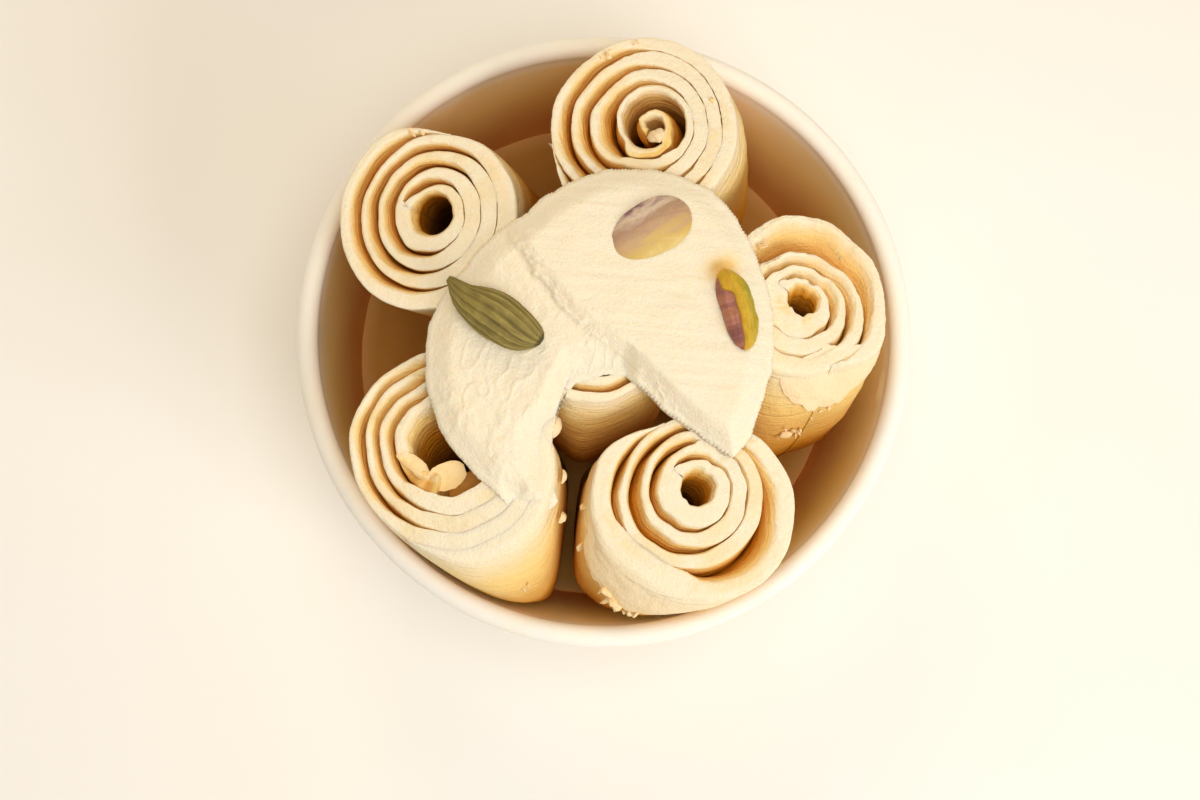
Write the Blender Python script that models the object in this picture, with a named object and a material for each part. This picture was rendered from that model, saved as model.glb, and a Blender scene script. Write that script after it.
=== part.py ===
"""Rolled ice cream in a round paper tub.

Six rolls of scraped ice cream stand on end in the tub. A scraped sheet with a wedge left open
lies over them, and a cardamom pod and two pieces of pistachio are pressed into that sheet.
Metres, +Z up, origin on the surface under the middle of the tub.
"""

import math
from dataclasses import dataclass, field

import bmesh
import bpy
import numpy as np

# Gap kept between neighbours that touch
CLEARANCE = 0.0003

# Paper tub
RIM_RADIUS = 0.0575
BEAD_RADIUS = 0.0020
TUB_HEIGHT = 0.0420
FLOOR_Z = 0.0060
FLOOR_RADIUS = 0.0468
WALL_SLOPE = 0.197
PAPER = 0.0009
SKIRT_THICKNESS = 0.0012
TUB_SIDES = 72
BEAD_STEPS = 6
# The rolled rim runs from just above the wall's outer side, over the top, to its inner side
BEAD_FROM_DEG = -40.0
BEAD_TURN_DEG = 220.0
BEAD_FOOT = 0.8

# Rolls
FOOT_Z = FLOOR_Z + CLEARANCE
SHEET = 0.0024
PITCH = 0.0031
CHORD_ERROR = 0.00017
LEVELS = (0.0, 0.27, 0.53, 0.78, 1.0)
TOP_TILT = 0.6
TOP_RIPPLE = 0.00035
TOP_SPARE = 0.003
# A loose or swollen place comes in over this part of a turn, the last turn's extra over that one
BULGE_TURNS = 0.3
EXTRA_TURNS = 0.4
# The sheet's free end thins to a share of itself over its last angle
TIP_ANGLE = 0.5
TIP_SHARE = 0.55
ROLL_GAP = 0.0011
PRESS_DEPTH = 0.0035
WALL_PRESS = 0.0025
RIM_OVERHANG = 11.7

# Sheet laid over the rolls
CAP_CENTRE = (-0.0024, 0.0)
CAP_UNDER_Z = 0.0606
CAP_DROOP = 1.6
CAP_THICKNESS = 0.0030
CAP_RINGS = (0.22, 0.45, 0.66, 0.84, 0.95)
UNDER_RINGS = (0.66, 0.33)
CAP_STEPS = 68
# Share of the way out at which the sheet starts to thin, and how much of it is gone at its edge
EDGE_FROM = 0.82
EDGE_LOSS = 0.55
FOLD_START = (-0.0173, 0.0144)
FOLD_END = (0.0050, -0.0115)
FOLD_HEIGHT = 0.0013
FOLD_RISE = 0.003
FOLD_REACH = 0.020
FOLD_FADE = 0.7
# Bearings between which the wedge left open lies
WEDGE_DEG = (-121.0, -42.0)
# Outline of the sheet: bearing from its centre in degrees, distance in metres
CAP_OUTLINE = (
    (-119.5, 0.0326), (-119.2, 0.0280), (-118.8, 0.0200), (-117.0, 0.0140), (-111.0, 0.0112),
    (-98.0, 0.0100), (-80.0, 0.0094), (-62.0, 0.0108), (-56.0, 0.0145), (-49.5, 0.0240),
    (-45.0, 0.0345), (-36.0, 0.0340), (-18.0, 0.0324), (21.5, 0.0313), (46.6, 0.0322),
    (71.6, 0.0298), (89.0, 0.0277), (124.0, 0.0234), (157.0, 0.0258), (180.0, 0.0300),
    (203.6, 0.0329), (209.7, 0.0341), (216.6, 0.0344), (224.4, 0.0351), (229.0, 0.0366),
    (235.0, 0.0350),
)
# The left lobe's tail swings to the right, by so much at this distance from the centre. The swing
# comes in from the first bearing on and is over at the second, each with its own easing angle.
SWING_DEG = 20.0
SWING_AT = 0.035
SWING_IN = (-165.0, 45.0)
SWING_OUT = (-118.0, 20.0)

PALE_CREAM = (0.86, 0.74, 0.54, 1.0)
TUB_CREAM = (0.88, 0.79, 0.64, 1.0)
POD_GREEN = (0.20, 0.20, 0.07, 1.0)
NUT_MAUVE = (0.50, 0.36, 0.27, 1.0)
NUT_YELLOW = (0.55, 0.42, 0.03, 1.0)


@dataclass
class Roll:
    """One roll. Places are in plan; the core is the open eye that the sheet winds round."""

    name: str
    face: tuple
    eye: tuple
    foot: tuple
    top_z: float
    eye_radius: float
    turns: float
    start_deg: float
    foot_scale: float = 0.90
    sag: tuple = (0.0, 0.0)
    pitch: float = PITCH
    oval: float = 0.0
    oval_deg: float = 90.0
    last_turn_extra: float = 0.0
    # Thicker places: from which turn, towards which bearing, half its width in degrees, and size
    swollen: tuple = field(default_factory=tuple)
    # Loose places: from which turn, towards which bearing, half its width in degrees, and size
    loose: tuple = field(default_factory=tuple)


ROLLS = (
    Roll("roll_back_left", face=(-0.0327, 0.0201), eye=(-0.0326, 0.0202), foot=(-0.0213, 0.0217),
         top_z=0.0595, eye_radius=0.0021, turns=4.25, start_deg=165, foot_scale=0.88,
         pitch=0.00315, oval=0.055, oval_deg=60.0, last_turn_extra=0.0010),
    Roll("roll_back", face=(0.0053, 0.0369), eye=(0.0075, 0.0373), foot=(0.0118, 0.0285),
         top_z=0.0605, eye_radius=0.0030, turns=4.3, start_deg=300, foot_scale=0.92,
         sag=(0.0016, 0.0), pitch=0.0032, loose=((0.8, 200, 70, 0.0014),)),
    Roll("roll_right", face=(0.0345, 0.0038), eye=(0.0345, 0.0056), foot=(0.0285, -0.0085),
         top_z=0.0595, eye_radius=0.0019, turns=3.6, start_deg=150, foot_scale=0.86,
         sag=(-0.0006, -0.0060), pitch=0.0032, last_turn_extra=0.0012,
         swollen=((3.1, -85, 70, 0.0024),), loose=((2.5, 90, 95, 0.0025),)),
    Roll("roll_front_right", face=(0.0154, -0.0306), eye=(0.0155, -0.0287), foot=(0.0101, -0.0298),
         top_z=0.0590, eye_radius=0.0022, turns=4.1, start_deg=150, foot_scale=0.90,
         sag=(-0.0026, -0.0047), last_turn_extra=0.0020,
         loose=((2.5, -150, 90, 0.0010), (3.05, -40, 75, 0.0016))),
    Roll("roll_front_left", face=(-0.0299, -0.0226), eye=(-0.0299, -0.0212), foot=(-0.0212, -0.0254),
         top_z=0.0585, eye_radius=0.0065, turns=4.05, start_deg=262, foot_scale=0.94,
         sag=(0.0025, -0.0065), pitch=0.0028, oval=0.06, oval_deg=135.0,
         loose=((0.3, -45, 60, 0.0012),)),
    Roll("roll_middle", face=(-0.0024, 0.0012), eye=(-0.0024, 0.0012), foot=(-0.0020, -0.0072),
         top_z=0.0595, eye_radius=0.0034, turns=4.1, start_deg=20, foot_scale=0.74,
         sag=(0.0, -0.0065)),
)

# Rolls that lie against one another
NEIGHBOURS = (
    ("roll_back_left", "roll_back"), ("roll_back", "roll_right"),
    ("roll_right", "roll_front_right"), ("roll_front_right", "roll_front_left"),
    ("roll_front_left", "roll_back_left"), ("roll_middle", "roll_back_left"),
    ("roll_middle", "roll_back"), ("roll_middle", "roll_right"),
    ("roll_middle", "roll_front_right"), ("roll_middle", "roll_front_left"),
)


def clear_scene():
    for obj in list(bpy.data.objects):
        bpy.data.objects.remove(obj, do_unlink=True)


def material(name, colour, roughness):
    mat = bpy.data.materials.new(name)
    mat.use_nodes = True
    shader = mat.node_tree.nodes["Principled BSDF"]
    shader.inputs["Base Color"].default_value = colour
    shader.inputs["Roughness"].default_value = roughness
    shader.inputs["Metallic"].default_value = 0.0
    return mat


def add_object(name, points, faces, mat, smooth_deg=40.0):
    """A closed mesh object from points and faces, turned to face outwards."""
    mesh = bpy.data.meshes.new(name)
    mesh.from_pydata([tuple(map(float, p)) for p in points], [], faces)
    work = bmesh.new()
    work.from_mesh(mesh)
    bmesh.ops.recalc_face_normals(work, faces=work.faces)
    work.to_mesh(mesh)
    work.free()
    mesh.materials.append(mat)
    mesh.shade_smooth()
    mesh.set_sharp_from_angle(angle=math.radians(smooth_deg))
    obj = bpy.data.objects.new(name, mesh)
    bpy.context.collection.objects.link(obj)
    return obj


def ease(x):
    """Smooth step from 0 at x = 0 to 1 at x = 1."""
    x = np.clip(x, 0.0, 1.0)
    return x * x * (3.0 - 2.0 * x)


def press(distance, limit, depth):
    """Squeeze distances so that they approach the limit and never pass it, order kept."""
    start = limit - depth
    over = np.maximum(distance - start, 0.0)
    return np.where(distance > start, start + depth * (1.0 - np.exp(-over / depth)), distance)


def wall_radius(z):
    """How far out a roll may reach at a height: the tub's wall, its rim, and more above it."""
    wall = np.minimum(FLOOR_RADIUS + WALL_SLOPE * (z - FLOOR_Z), RIM_RADIUS - 2 * BEAD_RADIUS)
    return wall + RIM_OVERHANG * np.maximum(z - TUB_HEIGHT, 0.0) ** 2


# Tub

def tub_profile():
    """Half section of the tub as (radius, height), from under the floor round to its top."""
    bead_centre = (RIM_RADIUS - BEAD_RADIUS, TUB_HEIGHT - BEAD_RADIUS)
    base_radius = FLOOR_RADIUS - WALL_SLOPE * FLOOR_Z + PAPER
    skirt_inner = base_radius - SKIRT_THICKNESS
    outer_top_z = bead_centre[1] - BEAD_FOOT * BEAD_RADIUS
    outer_top = base_radius + WALL_SLOPE * outer_top_z
    profile = [(skirt_inner, FLOOR_Z - PAPER), (skirt_inner, 0.0), (base_radius, 0.0),
               (outer_top, outer_top_z)]
    for step in range(BEAD_STEPS + 1):
        angle = math.radians(BEAD_FROM_DEG + BEAD_TURN_DEG * step / BEAD_STEPS)
        profile.append((bead_centre[0] + BEAD_RADIUS * math.cos(angle),
                        bead_centre[1] + BEAD_RADIUS * math.sin(angle)))
    profile.append((FLOOR_RADIUS, FLOOR_Z))
    return profile


def build_tub(mat):
    """The tub: its half section turned about Z, closed by a disc on and one under its floor."""
    profile = np.array(tub_profile())
    angles = np.linspace(0.0, 2.0 * math.pi, TUB_SIDES, endpoint=False)
    count = len(profile)
    points = [(r * math.cos(a), r * math.sin(a), z) for a in angles for r, z in profile]
    faces = []
    for side in range(TUB_SIDES):
        here = side * count
        there = (side + 1) % TUB_SIDES * count
        for k in range(count - 1):
            faces.append((here + k, there + k, there + k + 1, here + k + 1))
    faces.append(tuple(side * count for side in range(TUB_SIDES)))
    faces.append(tuple(side * count + count - 1 for side in range(TUB_SIDES)))
    return add_object("paper_tub", points, faces, mat)


# Rolls

def roll_centre(roll, z):
    """Middle of a roll in plan at a height: a straight lean, and a sag halfway up."""
    s = np.clip((z - FOOT_Z) / (roll.top_z - FOOT_Z), 0.0, 1.05)
    bow = 4.0 * s * (1.0 - s)
    foot, face, sag = (np.array(v) for v in (roll.foot, roll.face, roll.sag))
    return foot + np.multiply.outer(s, face - foot) + np.multiply.outer(bow, sag)


def roll_scale(roll, z):
    s = np.clip((z - FOOT_Z) / (roll.top_z - FOOT_Z), 0.0, 1.0)
    return roll.foot_scale + (1.0 - roll.foot_scale) * s


def roll_radius(roll):
    """Mean outer radius of a roll's face."""
    loose = sum(size * half / 360.0 for _, _, half, size in roll.loose)
    return roll.eye_radius + roll.pitch * (roll.turns - 0.5) + SHEET + roll.last_turn_extra + loose


def contact_plane(first, second, z):
    """Where two neighbours meet at a height: a point between them and the way to the second."""
    c1, c2 = roll_centre(first, z), roll_centre(second, z)
    r1 = roll_radius(first) * roll_scale(first, z)
    r2 = roll_radius(second) * roll_scale(second, z)
    way = c2 - c1
    length = np.linalg.norm(way, axis=-1, keepdims=True)
    return c1 + way * (r1 / (r1 + r2))[..., None], way / length


def bulge(place, bearing, turn):
    """Size of a loose or swollen place at each bearing: a squared cosine, eased in over turns."""
    first_turn, way_deg, half_deg, size = place
    off = (bearing - math.radians(way_deg) + math.pi) % (2.0 * math.pi) - math.pi
    near = np.clip(np.abs(off) / math.radians(half_deg), 0.0, 1.0)
    return size * np.cos(0.5 * math.pi * near) ** 2 * ease((turn - first_turn) / BULGE_TURNS + 0.5)


def spiral(roll):
    """Stations along the sheet: bearing, inner edge, outer edge and share of the way out.

    The inner edge grows by one pitch each turn, and by each loose place once its turn is
    reached. Stations lie as far apart as the chord error allows.
    """
    turned = [0.0]
    while turned[-1] < 2.0 * math.pi * roll.turns:
        radius = roll.eye_radius + roll.pitch * turned[-1] / (2.0 * math.pi)
        turned.append(turned[-1] + math.sqrt(8.0 * CHORD_ERROR / radius))
    phi = np.array(turned) * (2.0 * math.pi * roll.turns / turned[-1])
    bearing = math.radians(roll.start_deg) - phi
    turn = phi / (2.0 * math.pi)
    inner = roll.eye_radius + roll.pitch * turn
    for place in roll.loose:
        inner += bulge(place, bearing, turn)
    drift = (np.array(roll.face) - np.array(roll.eye)) / roll.turns
    thick = SHEET + drift[0] * np.cos(bearing) + drift[1] * np.sin(bearing)
    thick += roll.last_turn_extra * ease((turn - roll.turns + 1.0) / EXTRA_TURNS)
    for place in roll.swollen:
        thick += bulge(place, bearing, turn)
    tip = TIP_SHARE + (1.0 - TIP_SHARE) * np.minimum(1.0, (phi[-1] - phi) / TIP_ANGLE)
    stretch = 1.0 + roll.oval * np.cos(2.0 * (bearing - math.radians(roll.oval_deg)))
    return bearing, inner * stretch, (inner + thick * tip) * stretch, phi / phi[-1]


def roll_level(roll, share, bearing, edge, way_out):
    """Points of one edge of the sheet at one share of the roll's height, pressed into place."""
    lean = (np.array(roll.face) - np.array(roll.foot)) / (roll.top_z - FOOT_Z)
    eye = (np.array(roll.eye) - np.array(roll.face))[None, :] * (1.0 - way_out)[:, None]
    flat = eye + edge[:, None] * np.column_stack((np.cos(bearing), np.sin(bearing)))
    z = FOOT_Z + (roll.top_z - FOOT_Z) * share - TOP_TILT * share ** 2 * (flat @ lean)
    if share == 1.0:
        z = z + TOP_RIPPLE * (np.sin(5.0 * bearing) + 0.6 * np.sin(11.0 * bearing + 1.0))
        z = np.minimum(z, roll.top_z + TOP_SPARE)
    xy = roll_centre(roll, z) + flat * roll_scale(roll, z)[:, None]
    for first, second in NEIGHBOURS:
        if roll.name not in (first, second):
            continue
        point, way = contact_plane(BY_NAME[first], BY_NAME[second], z)
        way = way if roll.name == first else -way
        distance = np.sum((xy - point) * way, axis=1)
        xy = xy + way * (press(distance, -0.5 * ROLL_GAP, PRESS_DEPTH) - distance)[:, None]
    radius = np.linalg.norm(xy, axis=1)
    limit = wall_radius(z) * math.cos(math.pi / TUB_SIDES) - CLEARANCE
    xy = xy * (press(radius, limit, WALL_PRESS) / radius)[:, None]
    z = np.minimum(z, cap_underside(xy) - CLEARANCE) if share == 1.0 else z
    return np.column_stack((xy, z))


def build_roll(roll, mat):
    """A sheet of even height wound clockwise: inner wall, outer wall, top, foot and two ends."""
    bearing, inner, outer, way_out = spiral(roll)
    rows = [[roll_level(roll, share, bearing, edge, way_out) for share in LEVELS]
            for edge in (inner, outer)]
    stations, levels = len(bearing), len(LEVELS)
    points = np.stack([np.stack(row) for row in rows]).reshape(-1, 3)

    def at(side, level, station):
        return (side * levels + level) * stations + station

    faces = []
    for k in range(stations - 1):
        for level in range(levels - 1):
            for side in (0, 1):
                faces.append((at(side, level, k), at(side, level, k + 1),
                              at(side, level + 1, k + 1), at(side, level + 1, k)))
        for level in (0, levels - 1):
            faces.append((at(0, level, k), at(0, level, k + 1),
                          at(1, level, k + 1), at(1, level, k)))
    for k in (0, stations - 1):
        for level in range(levels - 1):
            faces.append((at(0, level, k), at(1, level, k),
                          at(1, level + 1, k), at(0, level + 1, k)))
    return add_object(roll.name, points, faces, mat)


# Sheet laid over the rolls

def cap_underside(xy):
    """Height of the underside: a shallow dome that droops with the square of the distance."""
    away = (xy[..., 0] - CAP_CENTRE[0]) ** 2 + (xy[..., 1] - CAP_CENTRE[1]) ** 2
    return CAP_UNDER_Z - CAP_DROOP * away


def fold_lift(xy):
    """Extra height where the right part lies over the left one, fading away from the fold."""
    start, end = np.array(FOLD_START), np.array(FOLD_END)
    along = (end - start) / np.linalg.norm(end - start)
    right = np.array((-along[1], along[0]))
    across = (xy[..., 0] - start[0]) * right[0] + (xy[..., 1] - start[1]) * right[1]
    return FOLD_HEIGHT * ease(across / FOLD_RISE) * (1.0 - FOLD_FADE * ease(across / FOLD_REACH))


def cap_top(xy, share):
    """Height of the upper side: the underside, the thickness and the fold, thin at the edge."""
    edge = 1.0 - EDGE_LOSS * ease((share - EDGE_FROM) / (1.0 - EDGE_FROM))
    return cap_underside(xy) + CAP_THICKNESS * edge + fold_lift(xy) * edge


def cap_radius(bearing_deg):
    """Outline distance at a bearing, eased between the listed points."""
    listed = np.array(CAP_OUTLINE + ((CAP_OUTLINE[0][0] + 360.0, CAP_OUTLINE[0][1]),))
    wrapped = (bearing_deg - listed[0, 0]) % 360.0 + listed[0, 0]
    return np.interp(wrapped, listed[:, 0], listed[:, 1])


def cap_plan(bearing_deg, distance):
    """Places in plan from bearing and distance, with the tail's swing to the right."""
    wrapped = (bearing_deg + 180.0) % 360.0 - 180.0
    swing = ease((wrapped - SWING_IN[0]) / SWING_IN[1])
    swing = swing * (1.0 - ease((wrapped - SWING_OUT[0]) / SWING_OUT[1]))
    bearing = np.radians(wrapped + SWING_DEG * swing * (distance / SWING_AT) ** 2)
    way = np.column_stack((np.cos(bearing), np.sin(bearing)))
    return np.array(CAP_CENTRE) + distance[:, None] * way


def cap_bearings():
    """Bearings of the outline's stations: closer together across the open wedge."""
    low, high = WEDGE_DEG
    wedge = np.linspace(low, high, CAP_STEPS // 2, endpoint=False)
    rest = np.linspace(high, low + 360.0, CAP_STEPS // 2, endpoint=False)
    return np.concatenate((wedge, rest))


def build_cap(mat, toppings):
    """Rings from the middle to the outline, above and below, less the hollows of the toppings."""
    bearing = cap_bearings()
    radius = cap_radius(bearing)
    centre = np.array(CAP_CENTRE)
    steps = len(bearing)
    points, faces = [], []
    for share in CAP_RINGS + (1.0,):
        xy = cap_plan(bearing, radius * share)
        points.extend(np.column_stack((xy, cap_top(xy, share))))
    for share in (1.0,) + UNDER_RINGS:
        xy = cap_plan(bearing, radius * share)
        points.extend(np.column_stack((xy, cap_underside(xy))))
    rings = len(CAP_RINGS) + len(UNDER_RINGS) + 2
    for ring in range(rings - 1):
        for k in range(steps):
            nxt = (k + 1) % steps
            faces.append((ring * steps + k, ring * steps + nxt,
                          (ring + 1) * steps + nxt, (ring + 1) * steps + k))
    top_pole, low_pole = len(points), len(points) + 1
    middle = centre[None, :]
    points.append((centre[0], centre[1], float(cap_top(middle, 0.0)[0])))
    points.append((centre[0], centre[1], float(cap_underside(middle)[0])))
    for k in range(steps):
        nxt = (k + 1) % steps
        faces.append((top_pole, k, nxt))
        faces.append((low_pole, (rings - 1) * steps + nxt, (rings - 1) * steps + k))
    cap = add_object("scraped_sheet", points, faces, mat)
    for topping in toppings:
        cutter = build_topping(topping, mat, grow=CLEARANCE, name=topping.name + "_hollow")
        cutter.hide_render = True
        cutter.display_type = "WIRE"
        cut = cap.modifiers.new(topping.name, "BOOLEAN")
        cut.operation = "DIFFERENCE"
        cut.solver = "EXACT"
        cut.object = cutter
    return cap


# Toppings

@dataclass
class Topping:
    """A seed or nut: its size, where its middle lies in plan, and how deep it is pressed in."""

    name: str
    length: float
    width: float
    height: float
    place: tuple
    yaw_deg: float
    sunk: float
    ridges: int = 0
    ridge_depth: float = 0.0
    stem: float = 0.0
    blunt: float = 2.2


POD = Topping("cardamom_pod", length=0.0206, width=0.0086, height=0.0076, place=(-0.0205, 0.0013),
              yaw_deg=-34.0, sunk=0.0016, ridges=9, ridge_depth=0.05, stem=0.0026, blunt=2.4)
HALF = Topping("pistachio_half", length=0.0163, width=0.0102, height=0.0044, place=(0.0069, 0.0167),
               yaw_deg=29.0, sunk=0.0024, blunt=2.6)
SLIVER = Topping("pistachio_sliver", length=0.0152, width=0.0062, height=0.0048,
                 place=(0.0221, 0.0022), yaw_deg=-74.0, sunk=0.0020, ridges=3, ridge_depth=0.10,
                 blunt=2.6)
TOPPING_RINGS = 11
TOPPING_SIDES = 18
# How full a topping's ends are, and the stem's girth: a share of the body's own and the least
END_FULLNESS = 1.9
STEM_SHARE = 0.62
STEM_LEAST = 0.14


def topping_radius(along, topping):
    """Girth from 0 to 1 at a place from -1 to 1 along the axis: a blunt oval, with a stem if long.

    The stem takes up twice its own length of the half that it stands on.
    """
    body = (1.0 - np.abs(along) ** topping.blunt) ** (1.0 / END_FULLNESS)
    if topping.stem:
        neck = 1.0 - 4.0 * topping.stem / topping.length
        body = np.where(along < -neck, np.maximum(body * STEM_SHARE, STEM_LEAST), body)
    return body


def build_topping(topping, mat, grow=0.0, name=None):
    """Rings along the axis, closed by a point at each end and set into the sheet."""
    along = -np.cos(np.linspace(0.0, math.pi, TOPPING_RINGS + 2))[1:-1]
    turn = np.linspace(0.0, 2.0 * math.pi, TOPPING_SIDES, endpoint=False)
    girth = topping_radius(along, topping)
    ridge = 1.0 + topping.ridge_depth * np.cos(topping.ridges * turn)
    half = 0.5 * np.array((topping.length, topping.width, topping.height)) + grow
    x = np.repeat(along, TOPPING_SIDES) * half[0]
    y = np.outer(girth, ridge * np.cos(turn)).ravel() * half[1]
    z = np.outer(girth, ridge * np.sin(turn)).ravel() * half[2]
    x = np.append(x, (-half[0], half[0]))
    y = np.append(y, (0.0, 0.0))
    z = np.append(z, (0.0, 0.0))
    yaw = math.radians(topping.yaw_deg)
    world_x = topping.place[0] + x * math.cos(yaw) - y * math.sin(yaw)
    world_y = topping.place[1] + x * math.sin(yaw) + y * math.cos(yaw)
    surface = float(cap_top(np.array([topping.place]), 0.0)[0])
    points = np.column_stack((world_x, world_y, z + surface + 0.5 * topping.height - topping.sunk))
    faces = []
    for ring in range(TOPPING_RINGS - 1):
        for k in range(TOPPING_SIDES):
            nxt = (k + 1) % TOPPING_SIDES
            faces.append((ring * TOPPING_SIDES + k, ring * TOPPING_SIDES + nxt,
                          (ring + 1) * TOPPING_SIDES + nxt, (ring + 1) * TOPPING_SIDES + k))
    low = TOPPING_RINGS * TOPPING_SIDES
    for k in range(TOPPING_SIDES):
        nxt = (k + 1) % TOPPING_SIDES
        faces.append((low, nxt, k))
        faces.append((low + 1, low - TOPPING_SIDES + k, low - TOPPING_SIDES + nxt))
    return add_object(name or topping.name, points, faces, mat)


BY_NAME = {roll.name: roll for roll in ROLLS}


def main():
    clear_scene()
    cream = material("ice_cream", PALE_CREAM, 0.55)
    build_tub(material("coated_paper", TUB_CREAM, 0.45))
    for roll in ROLLS:
        build_roll(roll, cream)
    build_topping(POD, material("cardamom", POD_GREEN, 0.6))
    build_topping(HALF, material("pistachio_skin", NUT_MAUVE, 0.5))
    build_topping(SLIVER, material("pistachio_flesh", NUT_YELLOW, 0.45))
    build_cap(cream, (POD, HALF, SLIVER))


main()
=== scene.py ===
"""Looks of a paper tub of rolled ice cream with a scraped sheet, a cardamom pod and pistachios on top."""

import math
from dataclasses import dataclass

import bmesh
import bpy
import numpy as np
from bpy.props import FloatProperty, FloatVectorProperty, IntProperty, PointerProperty
from mathutils import Matrix


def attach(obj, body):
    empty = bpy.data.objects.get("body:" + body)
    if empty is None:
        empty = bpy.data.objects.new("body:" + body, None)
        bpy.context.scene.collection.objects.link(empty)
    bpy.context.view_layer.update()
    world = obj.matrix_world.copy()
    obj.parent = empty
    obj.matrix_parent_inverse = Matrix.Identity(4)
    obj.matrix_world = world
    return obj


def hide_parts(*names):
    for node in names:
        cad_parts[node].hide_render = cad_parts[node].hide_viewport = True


bl_info = {
    "name": "Rolled ice cream in a paper tub",
    "version": (1, 0, 0),
    "blender": (4, 5, 0),
    "location": "3D View > Sidebar > Ice cream",
    "description": "Builds the tub, the six rolls, the sheet over them and what lies on it",
    "category": "Add Mesh",
}

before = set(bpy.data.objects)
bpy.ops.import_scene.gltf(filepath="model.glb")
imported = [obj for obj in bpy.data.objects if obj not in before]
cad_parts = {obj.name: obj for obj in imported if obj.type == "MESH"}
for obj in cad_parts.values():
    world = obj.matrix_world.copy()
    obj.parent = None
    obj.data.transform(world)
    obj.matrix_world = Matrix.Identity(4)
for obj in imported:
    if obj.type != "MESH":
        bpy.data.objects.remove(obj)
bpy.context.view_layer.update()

TAU = 2.0 * math.pi

# Tub, as in the CAD part, in metres
RIM_RADIUS = 0.0575
BEAD_RADIUS = 0.0020
TUB_HEIGHT = 0.0420
FLOOR_Z = 0.0060
FLOOR_RADIUS = 0.0468
WALL_SLOPE = 0.197
PAPER = 0.0009
SKIRT_THICKNESS = 0.0012
CLEARANCE = 0.0003
# Bearing at which the wall's ends are glued, and over how much of the wall the lap eases off
SEAM_DEG = -12.0
SEAM_EASE = 0.009
# A hand-squeezed rim waves by so much
RIM_WAVE = 0.00015

# Rolls, as in the CAD part
FOOT_Z = FLOOR_Z + CLEARANCE
SHEET = 0.0024
PITCH = 0.0031
TOP_TILT = 0.6
TOP_RIPPLE = 0.00035
ROLL_GAP = 0.0011
PRESS_DEPTH = 0.0035
WALL_PRESS = 0.0025
RIM_OVERHANG = 11.7

# Sheet over the rolls, as in the CAD part
CAP_CENTRE = (-0.0024, 0.0)
CAP_UNDER_Z = 0.0606
CAP_DROOP = 1.6
CAP_THICKNESS = 0.0030
FOLD_HEIGHT = 0.0013
FOLD_REACH = 0.020
CAP_OUTLINE = (
    (-119.5, 0.0326), (-119.2, 0.0280), (-118.8, 0.0200), (-117.0, 0.0140), (-111.0, 0.0112),
    (-98.0, 0.0100), (-80.0, 0.0094), (-62.0, 0.0108), (-56.0, 0.0145), (-49.5, 0.0240),
    (-45.0, 0.0345), (-36.0, 0.0340), (-18.0, 0.0324), (21.5, 0.0313), (46.6, 0.0322),
    (71.6, 0.0298), (89.0, 0.0277), (124.0, 0.0234), (157.0, 0.0258), (180.0, 0.0300),
    (203.6, 0.0329), (209.7, 0.0341), (216.6, 0.0344), (224.4, 0.0351), (229.0, 0.0366),
    (235.0, 0.0350),
)
# The tail swings to the right by this angle at this distance, and with its square nearer in
SWING_DEG = 20.0
SWING_AT = 0.035
# Line of the fold in plan, from the back left to the tip of the right part
FOLD_LINE = (
    (-0.0205, 0.0190), (-0.0173, 0.0145), (-0.0151, 0.0103), (-0.0123, 0.0069), (-0.0073, 0.0010),
    (-0.0023, -0.0027), (0.0036, -0.0073), (0.0100, -0.0141), (0.0158, -0.0196), (0.0208, -0.0242),
)


def linear(code):
    """Linear RGBA of an sRGB hex value."""
    parts = [int(code.lstrip("#")[k:k + 2], 16) / 255.0 for k in (0, 2, 4)]
    return tuple(p / 12.92 if p <= 0.04045 else ((p + 0.055) / 1.055) ** 2.4 for p in parts) + (1.0,)


def colour_property(name, description, code):
    return FloatVectorProperty(name=name, description=description, default=linear(code), size=4,
                               min=0.0, max=1.0, subtype="COLOR")


def length_property(name, description, metres):
    return FloatProperty(name=name, description=description, default=metres, min=0.0, unit="LENGTH",
                         subtype="DISTANCE", precision=5)


class TubSettings(bpy.types.PropertyGroup):
    bead: length_property("Bead", "Radius of the rolled rim", BEAD_RADIUS)
    seam_height: length_property("Seam", "Height of the lap where the wall's ends are glued", 0.00035)
    sides: IntProperty(name="Sides", description="Steps round the tub", default=288, min=72, max=512)
    paper: colour_property("Paper", "Coated paper in the light", "#FFF7EA")
    warm: colour_property("Warm", "Paper halfway down inside, lit by the ice cream", "#FFDC94")
    shade: colour_property("Shade", "Paper low inside, where only light off the cream gets in", "#D8983A")


class CreamSettings(bpy.types.PropertyGroup):
    station: length_property("Step", "Step along the rolled sheet", 0.00038)
    rounding: length_property("Rounding", "Radius of the sheet's upper edges", 0.00056)
    lopsided: length_property("Lopsided", "How much wider the gaps are on their open side", 0.00078)
    cream: colour_property("Cream", "Scraped cream in the light", "#F9EBCF")
    rolled: colour_property("Rolled cream", "Cream of the rolls in the light", "#FBEACB")
    torn: colour_property("Torn cream", "Cream of the thin torn pieces", "#FCE9C8")
    # Painted shade of the cream down the gaps and in the eyes, from golden to brown
    shade_golden: colour_property("Golden", "Cream just down a gap", "#F7D080")
    shade_amber: colour_property("Amber", "Cream some millimetres down a gap", "#DA9020")
    shade_brown: colour_property("Brown", "Cream deep in an eye", "#73400A")


class ToppingSettings(bpy.types.PropertyGroup):
    # Painted highlight on the husk's ribs and painted shade in its grooves, with the husk's own colour
    # between
    pod_rib_highlight: colour_property("Pod ribs", "Worn ribs of the husk", "#A8974F")
    pod: colour_property("Pod", "Dried cardamom husk", "#8C7A3C")
    pod_groove_shade: colour_property("Pod grooves", "Grooves of the husk", "#4E4420")
    skin: colour_property("Nut skin", "Thin skin of the half pistachio", "#B28C6E")
    flesh: colour_property("Nut flesh", "Broken flesh of the pistachio", "#D8AE24")


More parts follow.
